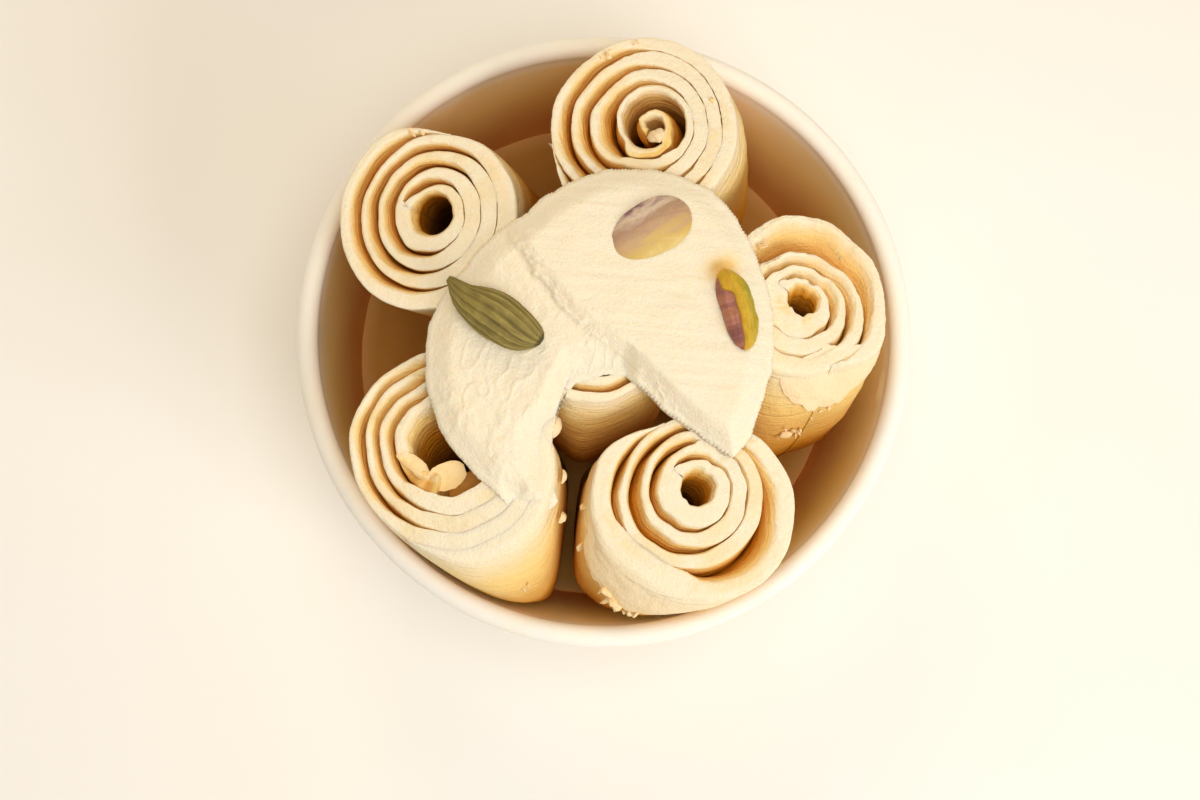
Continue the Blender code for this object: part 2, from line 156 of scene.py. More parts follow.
class StageSettings(bpy.types.PropertyGroup):
    floor: colour_property("Floor", "Plain pale floor", "#FAF7F1")
    key: FloatProperty(name="Key light", description="Power of the soft light from the lower right",
                       default=2.6, min=0.0, unit="POWER")
    top: FloatProperty(name="Top light", description="Power of the soft light from above", default=3.6,
                       min=0.0, unit="POWER")
    bounce: FloatProperty(name="Bounce", description="Power of the warm light from the back left",
                          default=0.8, min=0.0, unit="POWER")
    fill: FloatProperty(name="Fill", description="Strength of the light from all round", default=0.41,
                        min=0.0)


# Small maths

def ease(x):
    """Smooth step from 0 at x = 0 to 1 at x = 1."""
    x = np.clip(x, 0.0, 1.0)
    return x * x * (3.0 - 2.0 * x)


def press(distance, limit, depth):
    """Squeeze distances so that they approach the limit and never pass it, order kept."""
    start = limit - depth
    over = np.maximum(distance - start, 0.0)
    return np.where(distance > start, start + depth * (1.0 - np.exp(-over / depth)), distance)


def turn_off(bearing, way_deg):
    """Angle in radians, from -pi to pi, by which a bearing is off a way given in degrees."""
    return (bearing - math.radians(way_deg) + math.pi) % TAU - math.pi


def window(bearing, way_deg, half_deg):
    """1 at a bearing, falling as a squared cosine to 0 at half_deg on either side of it."""
    near = np.clip(np.abs(turn_off(bearing, way_deg)) / math.radians(half_deg), 0.0, 1.0)
    return np.cos(0.5 * math.pi * near) ** 2


def corner(i, j, k, seed):
    """A fixed value from -1 to 1 for each whole-number corner, by mixing its bits."""
    n = (i * 73856093 ^ j * 19349663 ^ k * 83492791 ^ seed * 40503) & 0xFFFFFFFF
    for _ in range(2):
        n = ((n >> 16 ^ n) * 0x45D9F3B) & 0xFFFFFFFF
    return (n >> 16 ^ n) / float(0x7FFFFFFF) - 1.0


def rough(points, cell, seed, octaves=3, gain=0.5):
    """Sum of smooth noises, each of half the cell and gain times the height of the one before.

    One noise blends the values of the eight corners round a point with the smooth step.
    """
    total, height = 0.0, 1.0
    for octave in range(octaves):
        p = np.asarray(points) * (2.0 ** octave / cell) + 17.3 * octave
        base = np.floor(p).astype(np.int64)
        f = p - base
        f = f * f * (3.0 - 2.0 * f)
        value = 0.0
        for dx in (0, 1):
            for dy in (0, 1):
                for dz in (0, 1):
                    weight = (np.where(dx, f[..., 0], 1 - f[..., 0]) * np.where(dy, f[..., 1], 1 - f[..., 1])
                              * np.where(dz, f[..., 2], 1 - f[..., 2]))
                    value = value + weight * corner(base[..., 0] + dx, base[..., 1] + dy,
                                                    base[..., 2] + dz, seed + octave)
        total = total + height * value
        height *= gain
    return total


def stack(*parts):
    """Arrays of like shape, joined along a new last axis."""
    return np.stack(np.broadcast_arrays(*parts), axis=-1)


# Meshes

def grid_faces(rows, columns, round_rows=False, round_columns=False, start=0):
    """Four-cornered faces of a grid of points, closed round on itself where asked."""
    i = np.arange(rows if round_rows else rows - 1)[:, None]
    j = np.arange(columns if round_columns else columns - 1)[None, :]
    i2, j2 = (i + 1) % rows, (j + 1) % columns
    corners = (i * columns + j, i2 * columns + j, i2 * columns + j2, i * columns + j2)
    return (np.stack(np.broadcast_arrays(*corners), axis=-1).reshape(-1, 4) + start).tolist()


def close_rings(rows, columns, start=0):
    """Faces of rings closed by an end face at each end."""
    faces = grid_faces(rows, columns, round_columns=True, start=start)
    faces.append(list(range(start, start + columns)))
    faces.append(list(range(start + (rows - 1) * columns, start + rows * columns)))
    return faces


def make_piece(name, points, faces, material, uv=None, values=None, sharp_deg=None, nodes=()):
    """A piece of the object from arrays: mesh, UV map, point values, material and body; the CAD parts it
    replaces are hidden.
    """
    mesh = bpy.data.meshes.new(name)
    mesh.from_pydata(np.asarray(points, dtype=float).reshape(-1, 3).tolist(), [], faces)
    work = bmesh.new()
    work.from_mesh(mesh)
    bmesh.ops.recalc_face_normals(work, faces=work.faces)
    work.to_mesh(mesh)
    work.free()
    if uv is not None:
        corner_point = np.empty(len(mesh.loops), dtype=np.int32)
        mesh.loops.foreach_get("vertex_index", corner_point)
        layer = mesh.uv_layers.new(name="sheet")
        layer.data.foreach_set("uv", np.asarray(uv, dtype=np.float32).reshape(-1, 2)[corner_point].ravel())
    for key, value in (values or {}).items():
        layer = mesh.attributes.new(key, "FLOAT", "POINT")
        layer.data.foreach_set("value", np.asarray(value, dtype=np.float32).ravel())
    mesh.materials.append(material)
    mesh.shade_smooth()
    if sharp_deg is not None:
        mesh.set_sharp_from_angle(angle=math.radians(sharp_deg))
    obj = bpy.data.objects.new(name, mesh)
    bpy.context.collection.objects.link(obj)
    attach(obj, "root")
    if nodes:
        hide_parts(*nodes)
    return obj


# Materials

def add_node(tree, kind, settings=None, **inputs):
    """Add a node, set its settings, then link or set its inputs: by name, or n0, n1 by number."""
    node = tree.nodes.new(kind)
    for key, value in (settings or {}).items():
        setattr(node, key, value)
    for key, value in inputs.items():
        numbered = key[0] == "n" and key[1:].isdigit()
        socket = node.inputs[int(key[1:]) if numbered else key.replace("_", " ")]
        if isinstance(value, bpy.types.NodeSocket):
            tree.links.new(value, socket)
        else:
            socket.default_value = value
    return node


def new_material(name, **fixed):
    """An opaque material with its shader's constant inputs set, as (material, tree, shader)."""
    mat = bpy.data.materials.get(name)
    if mat is not None:
        bpy.data.materials.remove(mat)
    mat = bpy.data.materials.new(name)
    mat.use_nodes = True
    tree = mat.node_tree
    shader = tree.nodes["Principled BSDF"]
    for key, value in fixed.items():
        shader.inputs[key.replace("_", " ")].default_value = value
    return mat, tree, shader


def ramp(tree, factor, stops):
    """A colour ramp through (place, linear colour) stops."""
    node = add_node(tree, "ShaderNodeValToRGB", Fac=factor)
    while len(node.color_ramp.elements) < len(stops):
        node.color_ramp.elements.new(0.5)
    for element, (place, colour) in zip(node.color_ramp.elements, stops):
        element.position = place
        element.color = colour
    return node.outputs["Color"]


def point_value(tree, name):
    """A value that the mesh carries at its points."""
    return add_node(tree, "ShaderNodeAttribute", {"attribute_name": name}).outputs["Fac"]


def object_place(tree):
    return add_node(tree, "ShaderNodeTexCoord").outputs["Object"]


def drawn_along(tree, scale):
    """Places on the UV map, stretched by a scale."""
    along = add_node(tree, "ShaderNodeUVMap", {"uv_map": "sheet"}).outputs["UV"]
    return add_node(tree, "ShaderNodeMapping", Vector=along, Scale=scale).outputs["Vector"]


def noise(tree, place, scale, detail, roughness, distortion=0.0):
    return add_node(tree, "ShaderNodeTexNoise", Vector=place, Scale=scale, Detail=detail,
                    Roughness=roughness, Distortion=distortion).outputs["Fac"]


def scaled(tree, value, factor, offset, clamp=False):
    """A value times a factor, plus an offset that may be a value too."""
    return add_node(tree, "ShaderNodeMath", {"operation": "MULTIPLY_ADD", "use_clamp": clamp}, n0=value,
                    n1=factor, n2=offset).outputs[0]


def clamped_sum(tree, first, second):
    return add_node(tree, "ShaderNodeMath", {"operation": "ADD", "use_clamp": True}, n0=first,
                    n1=second).outputs[0]


def dress(tree, shader, tint, height, strength, metres, invert=False):
    """Give a shader its colour, and a bump that is so many metres high at a height of 1."""
    tree.links.new(tint, shader.inputs["Base Color"])
    bump = add_node(tree, "ShaderNodeBump", {"invert": invert}, Height=height, Strength=strength,
                    Distance=metres)
    tree.links.new(bump.outputs["Normal"], shader.inputs["Normal"])


# Sizes of the cream's patterns in metres: patches of tone, dents and crumb
TONE_PATCH = 0.0050
DENT = 0.0025
CRUMB_GRAIN = 0.0005
# Scrape lines to a metre along the sheet and up it: about 12 mm long and 0.7 mm apart
SCRAPE_LINES = (85.0, 1400.0, 1.0)
# Heights of dents and scrape lines as multiples of the crumb's, which is so many metres
DENT_SHARE = 1.6
SCRAPE_SHARE = 3.2
CRUMB_HEIGHT = 0.00030


def frozen_cream(name, settings, pale, streaks, inside=0.22):
    """Frozen dairy cream scraped off a cold plate.

    It is dense and matt, light goes a millimetre in and comes back warm, and its surface is
    faintly crumbly with long scrape lines. The point value "depth" paints shade on it down the gaps.
    """
    mat, tree, shader = new_material(name, Roughness=0.50, IOR=1.35, Subsurface_Weight=inside,
                                     Subsurface_Radius=(0.0022, 0.0012, 0.0005), Subsurface_Scale=1.0,
                                     Specular_IOR_Level=0.35)
    place = object_place(tree)
    # Each patch is a touch yellower or paler
    shift = scaled(tree, noise(tree, place, 1.0 / TONE_PATCH, 3.0, 0.6), 0.10, -0.05)
    # Painted shade: the point value "depth" takes the cream from pale through golden and amber to brown
    tint = ramp(tree, clamped_sum(tree, point_value(tree, "depth"), shift), (
        (0.0, pale), (0.26, settings.shade_golden), (0.58, settings.shade_amber), (1.0, settings.shade_brown)))
    crumb = noise(tree, place, 1.0 / CRUMB_GRAIN, 2.0, 0.5)
    height = scaled(tree, noise(tree, place, 1.0 / DENT, 3.0, 0.55), DENT_SHARE, crumb)
    if streaks:
        lines = noise(tree, drawn_along(tree, SCRAPE_LINES), 1.0, 2.0, 0.6)
        height = scaled(tree, lines, SCRAPE_SHARE, height)
    dress(tree, shader, tint, height, 0.62, CRUMB_HEIGHT)
    return mat


def coated_paper(settings):
    """Coated paperboard, rolled and glued: smooth, faintly glossy, a little light comes through it.

    The point value "depth" paints shade on it: warm, then darker, down the inside of the tub.
    """
    mat, tree, shader = new_material("coated_paperboard", Roughness=0.55, IOR=1.45, Specular_IOR_Level=0.22,
                                     Subsurface_Weight=0.25, Subsurface_Radius=(0.0030, 0.0019, 0.0008),
                                     Subsurface_Scale=1.0)
    place = object_place(tree)
    # Fibre mottle of about 1.5 mm and clouds of 12 mm
    mottle = noise(tree, place, 650.0, 4.0, 0.65)
    shift = scaled(tree, noise(tree, place, 80.0, 2.0, 0.5), 0.16, -0.08)
    # Painted shade: from the paper's own colour through warm to shade, by the point value "depth"
    tint = ramp(tree, clamped_sum(tree, point_value(tree, "depth"), shift), (
        (0.0, settings.paper), (0.45, settings.warm), (1.0, settings.shade)))
    dress(tree, shader, tint, mottle, 0.25, 0.00006)
    return mat


# Tub

# Shade of the paper under the floor, from 0 in the light to 1
SKIRT_SHADE = 0.3


def tub_profile(bead_radius):
    """Half section of the tub as (radius, height, shade), in two runs.

    The first goes over the skirt's inside, outer wall, bead, inner wall and floor, the second
    from the middle of the floor's underside outwards. Walls are straight, the bead an arc.
    """
    bead = (RIM_RADIUS - bead_radius, TUB_HEIGHT - bead_radius)
    base = FLOOR_RADIUS - WALL_SLOPE * FLOOR_Z + PAPER
    skirt = base - SKIRT_THICKNESS
    top_z = bead[1] - 0.8 * bead_radius
    up = np.linspace(0.0, 1.0, 24)
    outside = stack(base + WALL_SLOPE * top_z * up, top_z * up, 0.0)
    a = np.radians(np.linspace(-60.0, 185.0, 26))
    rim = stack(bead[0] + bead_radius * np.cos(a), bead[1] + bead_radius * np.sin(a), 0.0)
    down = np.linspace(0.0, 1.0, 40)[1:]
    inner_top = (bead[0] - bead_radius, bead[1] - 0.2 * bead_radius)
    radius = inner_top[0] + (FLOOR_RADIUS - inner_top[0]) * down
    height = inner_top[1] + (FLOOR_Z - inner_top[1]) * down
    # Painted shade: the paper darkens fast under the rim and slowly below, and most on the floor between the
    # rolls
    inside = stack(radius, height, 0.28 * ease(down * 9.0) + 0.55 * ease(down * 1.05))
    across = np.linspace(1.0, 0.02, 16)[1:]
    floor = stack(FLOOR_RADIUS * across, FLOOR_Z, 0.83 + 0.17 * ease((1.0 - across) * 12.0))
    below = stack(skirt * np.linspace(0.02, 1.0, 8), FLOOR_Z - PAPER, SKIRT_SHADE)
    foot = np.array([(skirt, FLOOR_Z - PAPER, SKIRT_SHADE), (skirt, 0.0004, 0.1),
                     (skirt + 0.0002, 0.0, 0.0), (base - 0.0002, 0.0, 0.0)])
    return np.concatenate((foot, outside[1:], rim, inside, floor)), below[:-1]


class OBJECT_OT_paper_tub(bpy.types.Operator):
    """Build the round paper tub with its rolled rim"""

    bl_idname = "ice_cream.paper_tub"
    bl_label = "Paper tub"

    def execute(self, context):
        settings = context.scene.ice_cream_tub
        upper, lower = tub_profile(settings.bead)
        profile = np.concatenate((lower, upper))
        angle = np.linspace(0.0, TAU, settings.sides, endpoint=False)[:, None]
        radius, height, shade = (profile[None, :, k] for k in range(3))
        # The glued lap: a low step up the wall at one bearing, which eases off
        off = turn_off(angle, SEAM_DEG) * RIM_RADIUS
        lap = settings.seam_height * (off > 0.0) * (1.0 - ease(off / SEAM_EASE))
        wall = (height > FLOOR_Z + 0.001) & (height < TUB_HEIGHT - 2.2 * settings.bead)
        radius = radius - lap * wall
        # The wave of the rim fades out halfway down the wall
        radius = radius + RIM_WAVE * np.sin(3.0 * angle + 0.6) * ease((height - 0.02) / 0.02)
        points = stack(radius * np.cos(angle), radius * np.sin(angle), height)
        rows, columns = points.shape[:2]
        faces = grid_faces(rows, columns, round_rows=True)
        faces.append([row * columns for row in range(rows)])
        faces.append([row * columns + columns - 1 for row in range(rows)])
        make_piece("tub_of_paper", points, faces, coated_paper(settings),
                   values={"depth": np.broadcast_to(shade, points.shape[:2])}, sharp_deg=50.0,
                   nodes=("paper_tub",))
        return {"FINISHED"}


# Rolls

@dataclass
class Roll:
    """One roll. The fields down to swollen are those of the CAD part; the rest shape its finer looks."""

    name: str
    face: tuple
    eye: tuple
    foot: tuple
    top_z: float
    eye_radius: float
    turns: float
    start_deg: float
    foot_scale: float = 0.90
    sag: tuple = (0.0, 0.0)
    pitch: float = PITCH
    oval: float = 0.0
    oval_deg: float = 90.0
    last_turn_extra: float = 0.0
    loose: tuple = ()
    swollen: tuple = ()
    # Bearing towards which the gaps are wide, and how much of the common amount
    open_deg: float = 150.0
    open_share: float = 1.0
    # Places pressed shut: first turn, last turn, bearing, half width in degrees, gap left
    shut: tuple = ()
    # Places where the edge has sunk or broken: first turn, last turn, bearing, half width, depth
    sunk: tuple = ()
    # Turns of a small curl inside the eye, and how much thinner the first turn is then
    curl: float = 0.0
    thin_start: float = 0.0
    # Depth over which painted shade turns the cream in the eye brown
    eye_shade_depth: float = 0.0042
    # The same in the gaps
    gap_shade_depth: float = 0.0042
    # Side of the eye that light reaches, where the painted shade stays pale: bearing, half width, and how
    # many times deeper it stays pale
    eye_lit_side: tuple = (0, 1, 0.0)
    # Where the last turn lies further out, or is wider inwards below 0: first turn, bearing, half
    # width, size
    spread: tuple = ()
    # Whether the sheet's start has melted into the turn above it, so that the eye is round
    round_eye: bool = True
    # Where the outermost edge is rounded off: bearing, half width in degrees, extra radius
    shoulder: tuple = (0, 1, 0.0)
    # Where the last turn's inner edge slopes like a bowl: bearing, half width in degrees, extra width
    bowl: tuple = (0, 1, 0.0)
    # How crumbly the upper edges are, as a multiple of the common amount
    crumbly: float = 1.0
    seed: int = 1


ROLLS = (
    Roll("roll_back_left", face=(-0.0327, 0.0201), eye=(-0.0326, 0.0202), foot=(-0.0213, 0.0217),
         top_z=0.0595, eye_radius=0.0021, turns=4.25, start_deg=165, foot_scale=0.88,
         pitch=0.00315, oval=0.055, oval_deg=60.0, last_turn_extra=0.0010, open_deg=165,
         shut=((1.2, 4.25, -8, 30, 0.0001),), thin_start=0.0008, seed=3),
    Roll("roll_back", face=(0.0053, 0.0369), eye=(0.0075, 0.0373), foot=(0.0118, 0.0285),
         top_z=0.0605, eye_radius=0.0030, turns=4.3, start_deg=300, foot_scale=0.92,
         sag=(0.0016, 0.0), pitch=0.0032, loose=((0.8, 200, 70, 0.0014),), open_deg=185,
         shut=((-0.2, 0.95, -85, 75, 0.0001), (1.7, 3.3, 60, 45, 0.0001), (2.6, 4.3, 110, 30, 0.0001)),
         sunk=((-1.0, 0.15, -70, 200, 0.0009),), curl=0.85,
         thin_start=0.0012, round_eye=False, eye_shade_depth=0.0130, crumbly=2.0, seed=5),
    Roll("roll_right", face=(0.0345, 0.0038), eye=(0.0345, 0.0056), foot=(0.0285, -0.0085),
         top_z=0.0595, eye_radius=0.0019, turns=3.6, start_deg=150, foot_scale=0.86,
         sag=(-0.0006, -0.0060), pitch=0.0032, last_turn_extra=0.0012,
         swollen=((3.1, -85, 70, 0.0024),), loose=((2.5, 90, 95, 0.0025),), open_deg=60,
         open_share=0.7, shut=((0.6, 0.8, -97, 12, 0.0), (2.8, 3.6, -30, 50, 0.0001)),
         spread=((2.5, 65, 80, 0.0014),), eye_shade_depth=0.0018, gap_shade_depth=0.0075,
         bowl=(75, 110, 0.0013), crumbly=2.2, seed=7),
    Roll("roll_front_right", face=(0.0154, -0.0306), eye=(0.0155, -0.0287), foot=(0.0101, -0.0298),
         top_z=0.0590, eye_radius=0.0022, turns=4.1, start_deg=150, foot_scale=0.90,
         sag=(-0.0026, -0.0047), last_turn_extra=0.0020,
         loose=((2.5, -150, 90, 0.0010), (3.05, -40, 75, 0.0016)), open_deg=170, open_share=0.6,
         shut=((1.0, 2.5, 78, 20, 0.0),), spread=((3.05, -122, 60, -0.0018),),
         shoulder=(-122, 70, 0.0012), bowl=(-45, 120, 0.0021), gap_shade_depth=0.0036, seed=9),
    Roll("roll_front_left", face=(-0.0299, -0.0226), eye=(-0.0299, -0.0212), foot=(-0.0212, -0.0254),
         top_z=0.0585, eye_radius=0.0065, turns=4.05, start_deg=262, foot_scale=0.94,
         sag=(0.0025, -0.0065), pitch=0.0028, oval=0.06, oval_deg=135.0,
         loose=((0.3, -45, 60, 0.0012),), shoulder=(-38, 100, 0.0022), open_deg=150, open_share=0.9,
         shut=((1.1, 2.6, 30, 60, 0.00015), (2.5, 4.05, -75, 130, -0.00005)),
         sunk=((-0.1, 0.22, 240, 60, 0.0018),),
         thin_start=-0.0009, round_eye=False, eye_shade_depth=0.0085, eye_lit_side=(-40, 90, 6.0), seed=11),
    Roll("roll_middle", face=(-0.0024, 0.0012), eye=(-0.0024, 0.0012), foot=(-0.0020, -0.0072),
         top_z=0.0595, eye_radius=0.0034, turns=4.1, start_deg=20, foot_scale=0.74,
         sag=(0.0, -0.0065), open_deg=-90, open_share=0.4, seed=13),
)
BY_NAME = {roll.name: roll for roll in ROLLS}

# Rolls that lie against one another
NEIGHBOURS = (
    ("roll_back_left", "roll_back"), ("roll_back", "roll_right"),
    ("roll_right", "roll_front_right"), ("roll_front_right", "roll_front_left"),
    ("roll_front_left", "roll_back_left"), ("roll_middle", "roll_back_left"),
    ("roll_middle", "roll_back"), ("roll_middle", "roll_right"),
    ("roll_middle", "roll_front_right"), ("roll_middle", "roll_front_left"),
)


def wall_radius(z):
    """How far out a roll may reach at a height: the tub's wall, its rim, and more above it."""
    wall = np.minimum(FLOOR_RADIUS + WALL_SLOPE * (z - FLOOR_Z), RIM_RADIUS - 2 * BEAD_RADIUS)
    return wall + RIM_OVERHANG * np.maximum(z - TUB_HEIGHT, 0.0) ** 2


def roll_centre(roll, z):
    """Middle of a roll in plan at a height: a straight lean, and a sag halfway up."""
    s = np.clip((z - FOOT_Z) / (roll.top_z - FOOT_Z), 0.0, 1.05)
    foot, face, sag = (np.array(v) for v in (roll.foot, roll.face, roll.sag))
    return foot + s[..., None] * (face - foot) + (4.0 * s * (1.0 - s))[..., None] * sag


def roll_scale(roll, z):
    s = np.clip((z - FOOT_Z) / (roll.top_z - FOOT_Z), 0.0, 1.0)
    return roll.foot_scale + (1.0 - roll.foot_scale) * s


def roll_radius(roll):
    """Mean outer radius of a roll's face."""
    loose = sum(size * half / 360.0 for _, _, half, size in roll.loose)
    return roll.eye_radius + roll.pitch * (roll.turns - 0.5) + SHEET + roll.last_turn_extra + loose


def contact_plane(first, second, z):
    """Where two neighbours meet at a height: a point between them and the way to the second."""
    c1, c2 = roll_centre(first, z), roll_centre(second, z)
    r1 = roll_radius(first) * roll_scale(first, z)
    r2 = roll_radius(second) * roll_scale(second, z)
    way = c2 - c1
    return c1 + way * (r1 / (r1 + r2))[..., None], way / np.linalg.norm(way, axis=-1, keepdims=True)


def cap_underside(xy):
    """Height of the sheet's underside: a shallow dome that droops with the square of the distance."""
    away = (xy[..., 0] - CAP_CENTRE[0]) ** 2 + (xy[..., 1] - CAP_CENTRE[1]) ** 2
    return CAP_UNDER_Z - CAP_DROOP * away


# How fast the curl in an eye tightens with the turn, and its least radius as a share of the eye's
CURL_RATE = 1.5
CURL_LEAST = 0.36
# Its thickness as a share of the sheet's
CURL_THICKNESS = 0.55
# How much the sheet's thickness wanders
THICKNESS_WANDER = 0.00018
# Gap taken where no further turn lies outside the sheet
OPEN_GAP = 0.0009
# Two turns closer than this have grown together, and the outer one then lies a hair higher
GROWN_GAP = 0.00005
HAIR = 0.00004
# Over how many radians the free end thins out, and how far it sinks into the turn below
END_REACH = 0.9
END_SINK = 0.00010


def from_turn(turn, first_turn, over=0.3):
    """0 before a turn and 1 after it, eased over a part of a turn."""
    return ease((turn - first_turn) / over + 0.5)


def oval_factor(roll, bearing):
    """How much wider than round a roll is at a bearing: two waves to the turn."""
    return 1.0 + roll.oval * np.cos(2.0 * (bearing - math.radians(roll.oval_deg)))


def inner_edge(roll, phi):
    """Radius of the sheet's inner side after winding through phi.

    One pitch more each turn, and each loose place once its turn is reached; inside the eye the
    curl tightens to about a third of the eye's radius.
    """
    turn = phi / TAU
    bearing = math.radians(roll.start_deg) - phi
    curled = roll.eye_radius * np.maximum(1.0 + CURL_RATE * turn, CURL_LEAST)
    inner = np.where(turn >= 0.0, roll.eye_radius + roll.pitch * turn, curled)
    for first_turn, way_deg, half_deg, size in roll.loose + roll.spread:
        inner = inner + size * window(bearing, way_deg, half_deg) * from_turn(turn, first_turn)
    return inner * oval_factor(roll, bearing)


def wound_sheet(roll, phi, lopsided):
    """The sheet at each phi: inner side, thickness, gap outside it, bearing, and whether grown on.

    Its thickness is the sheet's own, plus the pull of the eye's offset, swollen places and a
    slow wander; a shut place takes up the gap outside it.
    """
    turn = phi / TAU
    bearing = math.radians(roll.start_deg) - phi
    inner = inner_edge(roll, phi)
    drift = (np.array(roll.face) - np.array(roll.eye)) / roll.turns
    pull = drift[0] * np.cos(bearing) + drift[1] * np.sin(bearing)
    thick = SHEET + pull + roll.last_turn_extra * ease((turn - roll.turns + 1.0) / 0.4)
    wider = tuple((*place, max(-size, 0.0)) for *place, size in roll.spread)
    for first_turn, way_deg, half_deg, size in roll.swollen + wider:
        thick = thick + size * window(bearing, way_deg, half_deg) * from_turn(turn, first_turn)
    oval = oval_factor(roll, bearing)
    thick = thick * oval - lopsided * roll.open_share * np.cos(turn_off(bearing, roll.open_deg))
    thick = thick + THICKNESS_WANDER * rough(stack(phi * 2.2, 0.0, 0.0), 1.0, roll.seed, 2)
    thick = thick * np.where(turn < 0.0, CURL_THICKNESS, 1.0)
    gap = inner_edge(roll, phi + TAU) + pull - inner - thick
    gap = np.where(turn > roll.turns - 1.0, OPEN_GAP, gap)
    closed = np.zeros_like(phi)
    for first_turn, last_turn, way_deg, half_deg, left in roll.shut:
        shut = (ease(1.6 * window(bearing, way_deg, half_deg)) * from_turn(turn, first_turn, 0.15)
                * (1.0 - from_turn(turn, last_turn, 0.15)))
        shut = shut * (1.0 - ease((turn - roll.turns + 1.05) / 0.05))
        close = (gap - left) * shut
        thick, gap = thick + close, gap - close
        closed = np.maximum(closed, shut * (left < GROWN_GAP))
    # The free end thins out and is pressed on to the turn below it
    end = ease(1.0 - (phi.max() - phi) / END_REACH)
    inner = inner - (np.interp(phi - TAU, phi, gap) + END_SINK) * end
    thick = thick * (1.0 - 0.95 * end)
    thinned = roll.thin_start * (1.0 - ease((turn - 0.75) / 0.5)) * (turn >= 0.0)
    inner, thick = inner + thinned, thick - thinned
    if roll.round_eye:
        # The last part of the first turn swells inwards to meet the sheet's start, then dives behind it
        meet = np.where(turn < 1.0, ease((turn - 0.35) / 0.65), ease(1.0 - (turn - 1.0) / 0.03))
        swell = (inner - (roll.eye_radius + roll.thin_start) * oval + pull * np.minimum(turn, 1.0)) * meet
        inner, thick = inner - swell, thick + swell
        fill = (gap - 0.00003) * ease(1.0 - phi / 1.1)
        thick, gap = thick + fill, gap - fill
    return inner, thick, gap, bearing, closed


def settle(roll, bearing, edge, share, way_out, lift=0.0):
    """Points of a roll from bearing, distance from its own middle and share of its height.

    The middle leans and sags with the height, the eye's offset fades outwards, the top tilts
    with the lean, and neighbours, the tub's wall and the sheet above press the points back.
    Returns the points and how far each lies below the roll's own top.
    """
    height = roll.top_z - FOOT_Z
    lean = (np.array(roll.face) - np.array(roll.foot)) / height
    eye = (np.array(roll.eye) - np.array(roll.face)) * (1.0 - way_out)[..., None]
    flat = eye + edge[..., None] * stack(np.cos(bearing), np.sin(bearing))
    tilt = TOP_TILT * (flat @ lean)
    ripple = TOP_RIPPLE * (np.sin(5.0 * bearing) + 0.6 * np.sin(11.0 * bearing + 1.0))

    def bend(part):
        z = FOOT_Z + height * part - tilt * part ** 2 + ripple * part ** 12
        xy = roll_centre(roll, z) + flat * roll_scale(roll, z)[..., None]
        for first, second in NEIGHBOURS:
            if roll.name not in (first, second):
                continue
            point, way = contact_plane(BY_NAME[first], BY_NAME[second], z)
            way = way if roll.name == first else -way
            distance = np.sum((xy - point) * way, axis=-1)
            xy = xy + way * (press(distance, -0.5 * ROLL_GAP, PRESS_DEPTH) - distance)[..., None]
        radius = np.linalg.norm(xy, axis=-1)
        limit = wall_radius(z) - CLEARANCE
        return xy * (press(radius, limit, WALL_PRESS) / radius)[..., None], z

    top_xy, top_z = bend(np.ones_like(share))
    held = np.maximum(top_z + lift - cap_underside(top_xy) + CLEARANCE, 0.0)
    xy, z = bend(share)
    # Only the upper fifth gives way under the sheet
    z = z - held * ease((share - 0.78) / 0.22) + lift
    below = np.maximum(top_z - held - z, 0.0)
    return np.concatenate((xy, z[..., None]), axis=-1), below


WALL_STEPS = 18
EDGE_STEPS = 8
# An inner edge's slope is so much taller than it is wide
INNER_STEEPNESS = 2.1


def sheet_section():
    """Columns of the sheet's section, from its inner foot over the top to its outer foot.

    For each column: parts of the two roundings and of the thickness that it lies across, part
    of each rounding that it lies below the top, and how far down the wall it is from 0 to 1.
    """
    wall = np.linspace(1.0, 0.0, WALL_STEPS, endpoint=False) ** 1.8
    t = np.radians(np.linspace(0.0, 90.0, EDGE_STEPS))
    zero, one = np.zeros_like, np.ones_like
    mid = np.array((0.25, 0.5, 0.75))
    across = np.concatenate((
        stack(zero(wall), zero(wall), zero(wall)),
        stack(1.0 - np.cos(t), zero(t), zero(t)),
        stack(1.0 - mid, -mid, mid),
        stack(zero(t), -(1.0 - np.cos(t)), one(t))[::-1],
        stack(zero(wall), zero(wall), one(wall))[::-1]))
    low = np.concatenate((
        stack(one(wall), zero(wall)), stack(1.0 - np.sin(t), zero(t)), stack(zero(mid), zero(mid)),
        stack(zero(t), 1.0 - np.sin(t))[::-1], stack(zero(wall), one(wall))))
    down = np.concatenate((wall, zero(t), zero(mid), zero(t), wall[::-1]))
    return across, low, down


# Gap from which an edge is fully rounded, and the least flat top left between the two edges
FULL_GAP = 0.0006
LEAST_TOP = 0.0009
# How much a turn stands higher or lower, how deep edges crumble and how deep the scrape lines are
TURN_LIFT = 0.00022
CRUMBLE = 0.00007
SCRAPE_DEPTH = 0.00034
# By which share a gap closes on each side, and over which depth
NARROWING = 0.42
NARROWING_OVER = 0.0050
# Depth over which painted shade turns a roll's outer side golden
SIDE_SHADE_DEPTH = 0.031


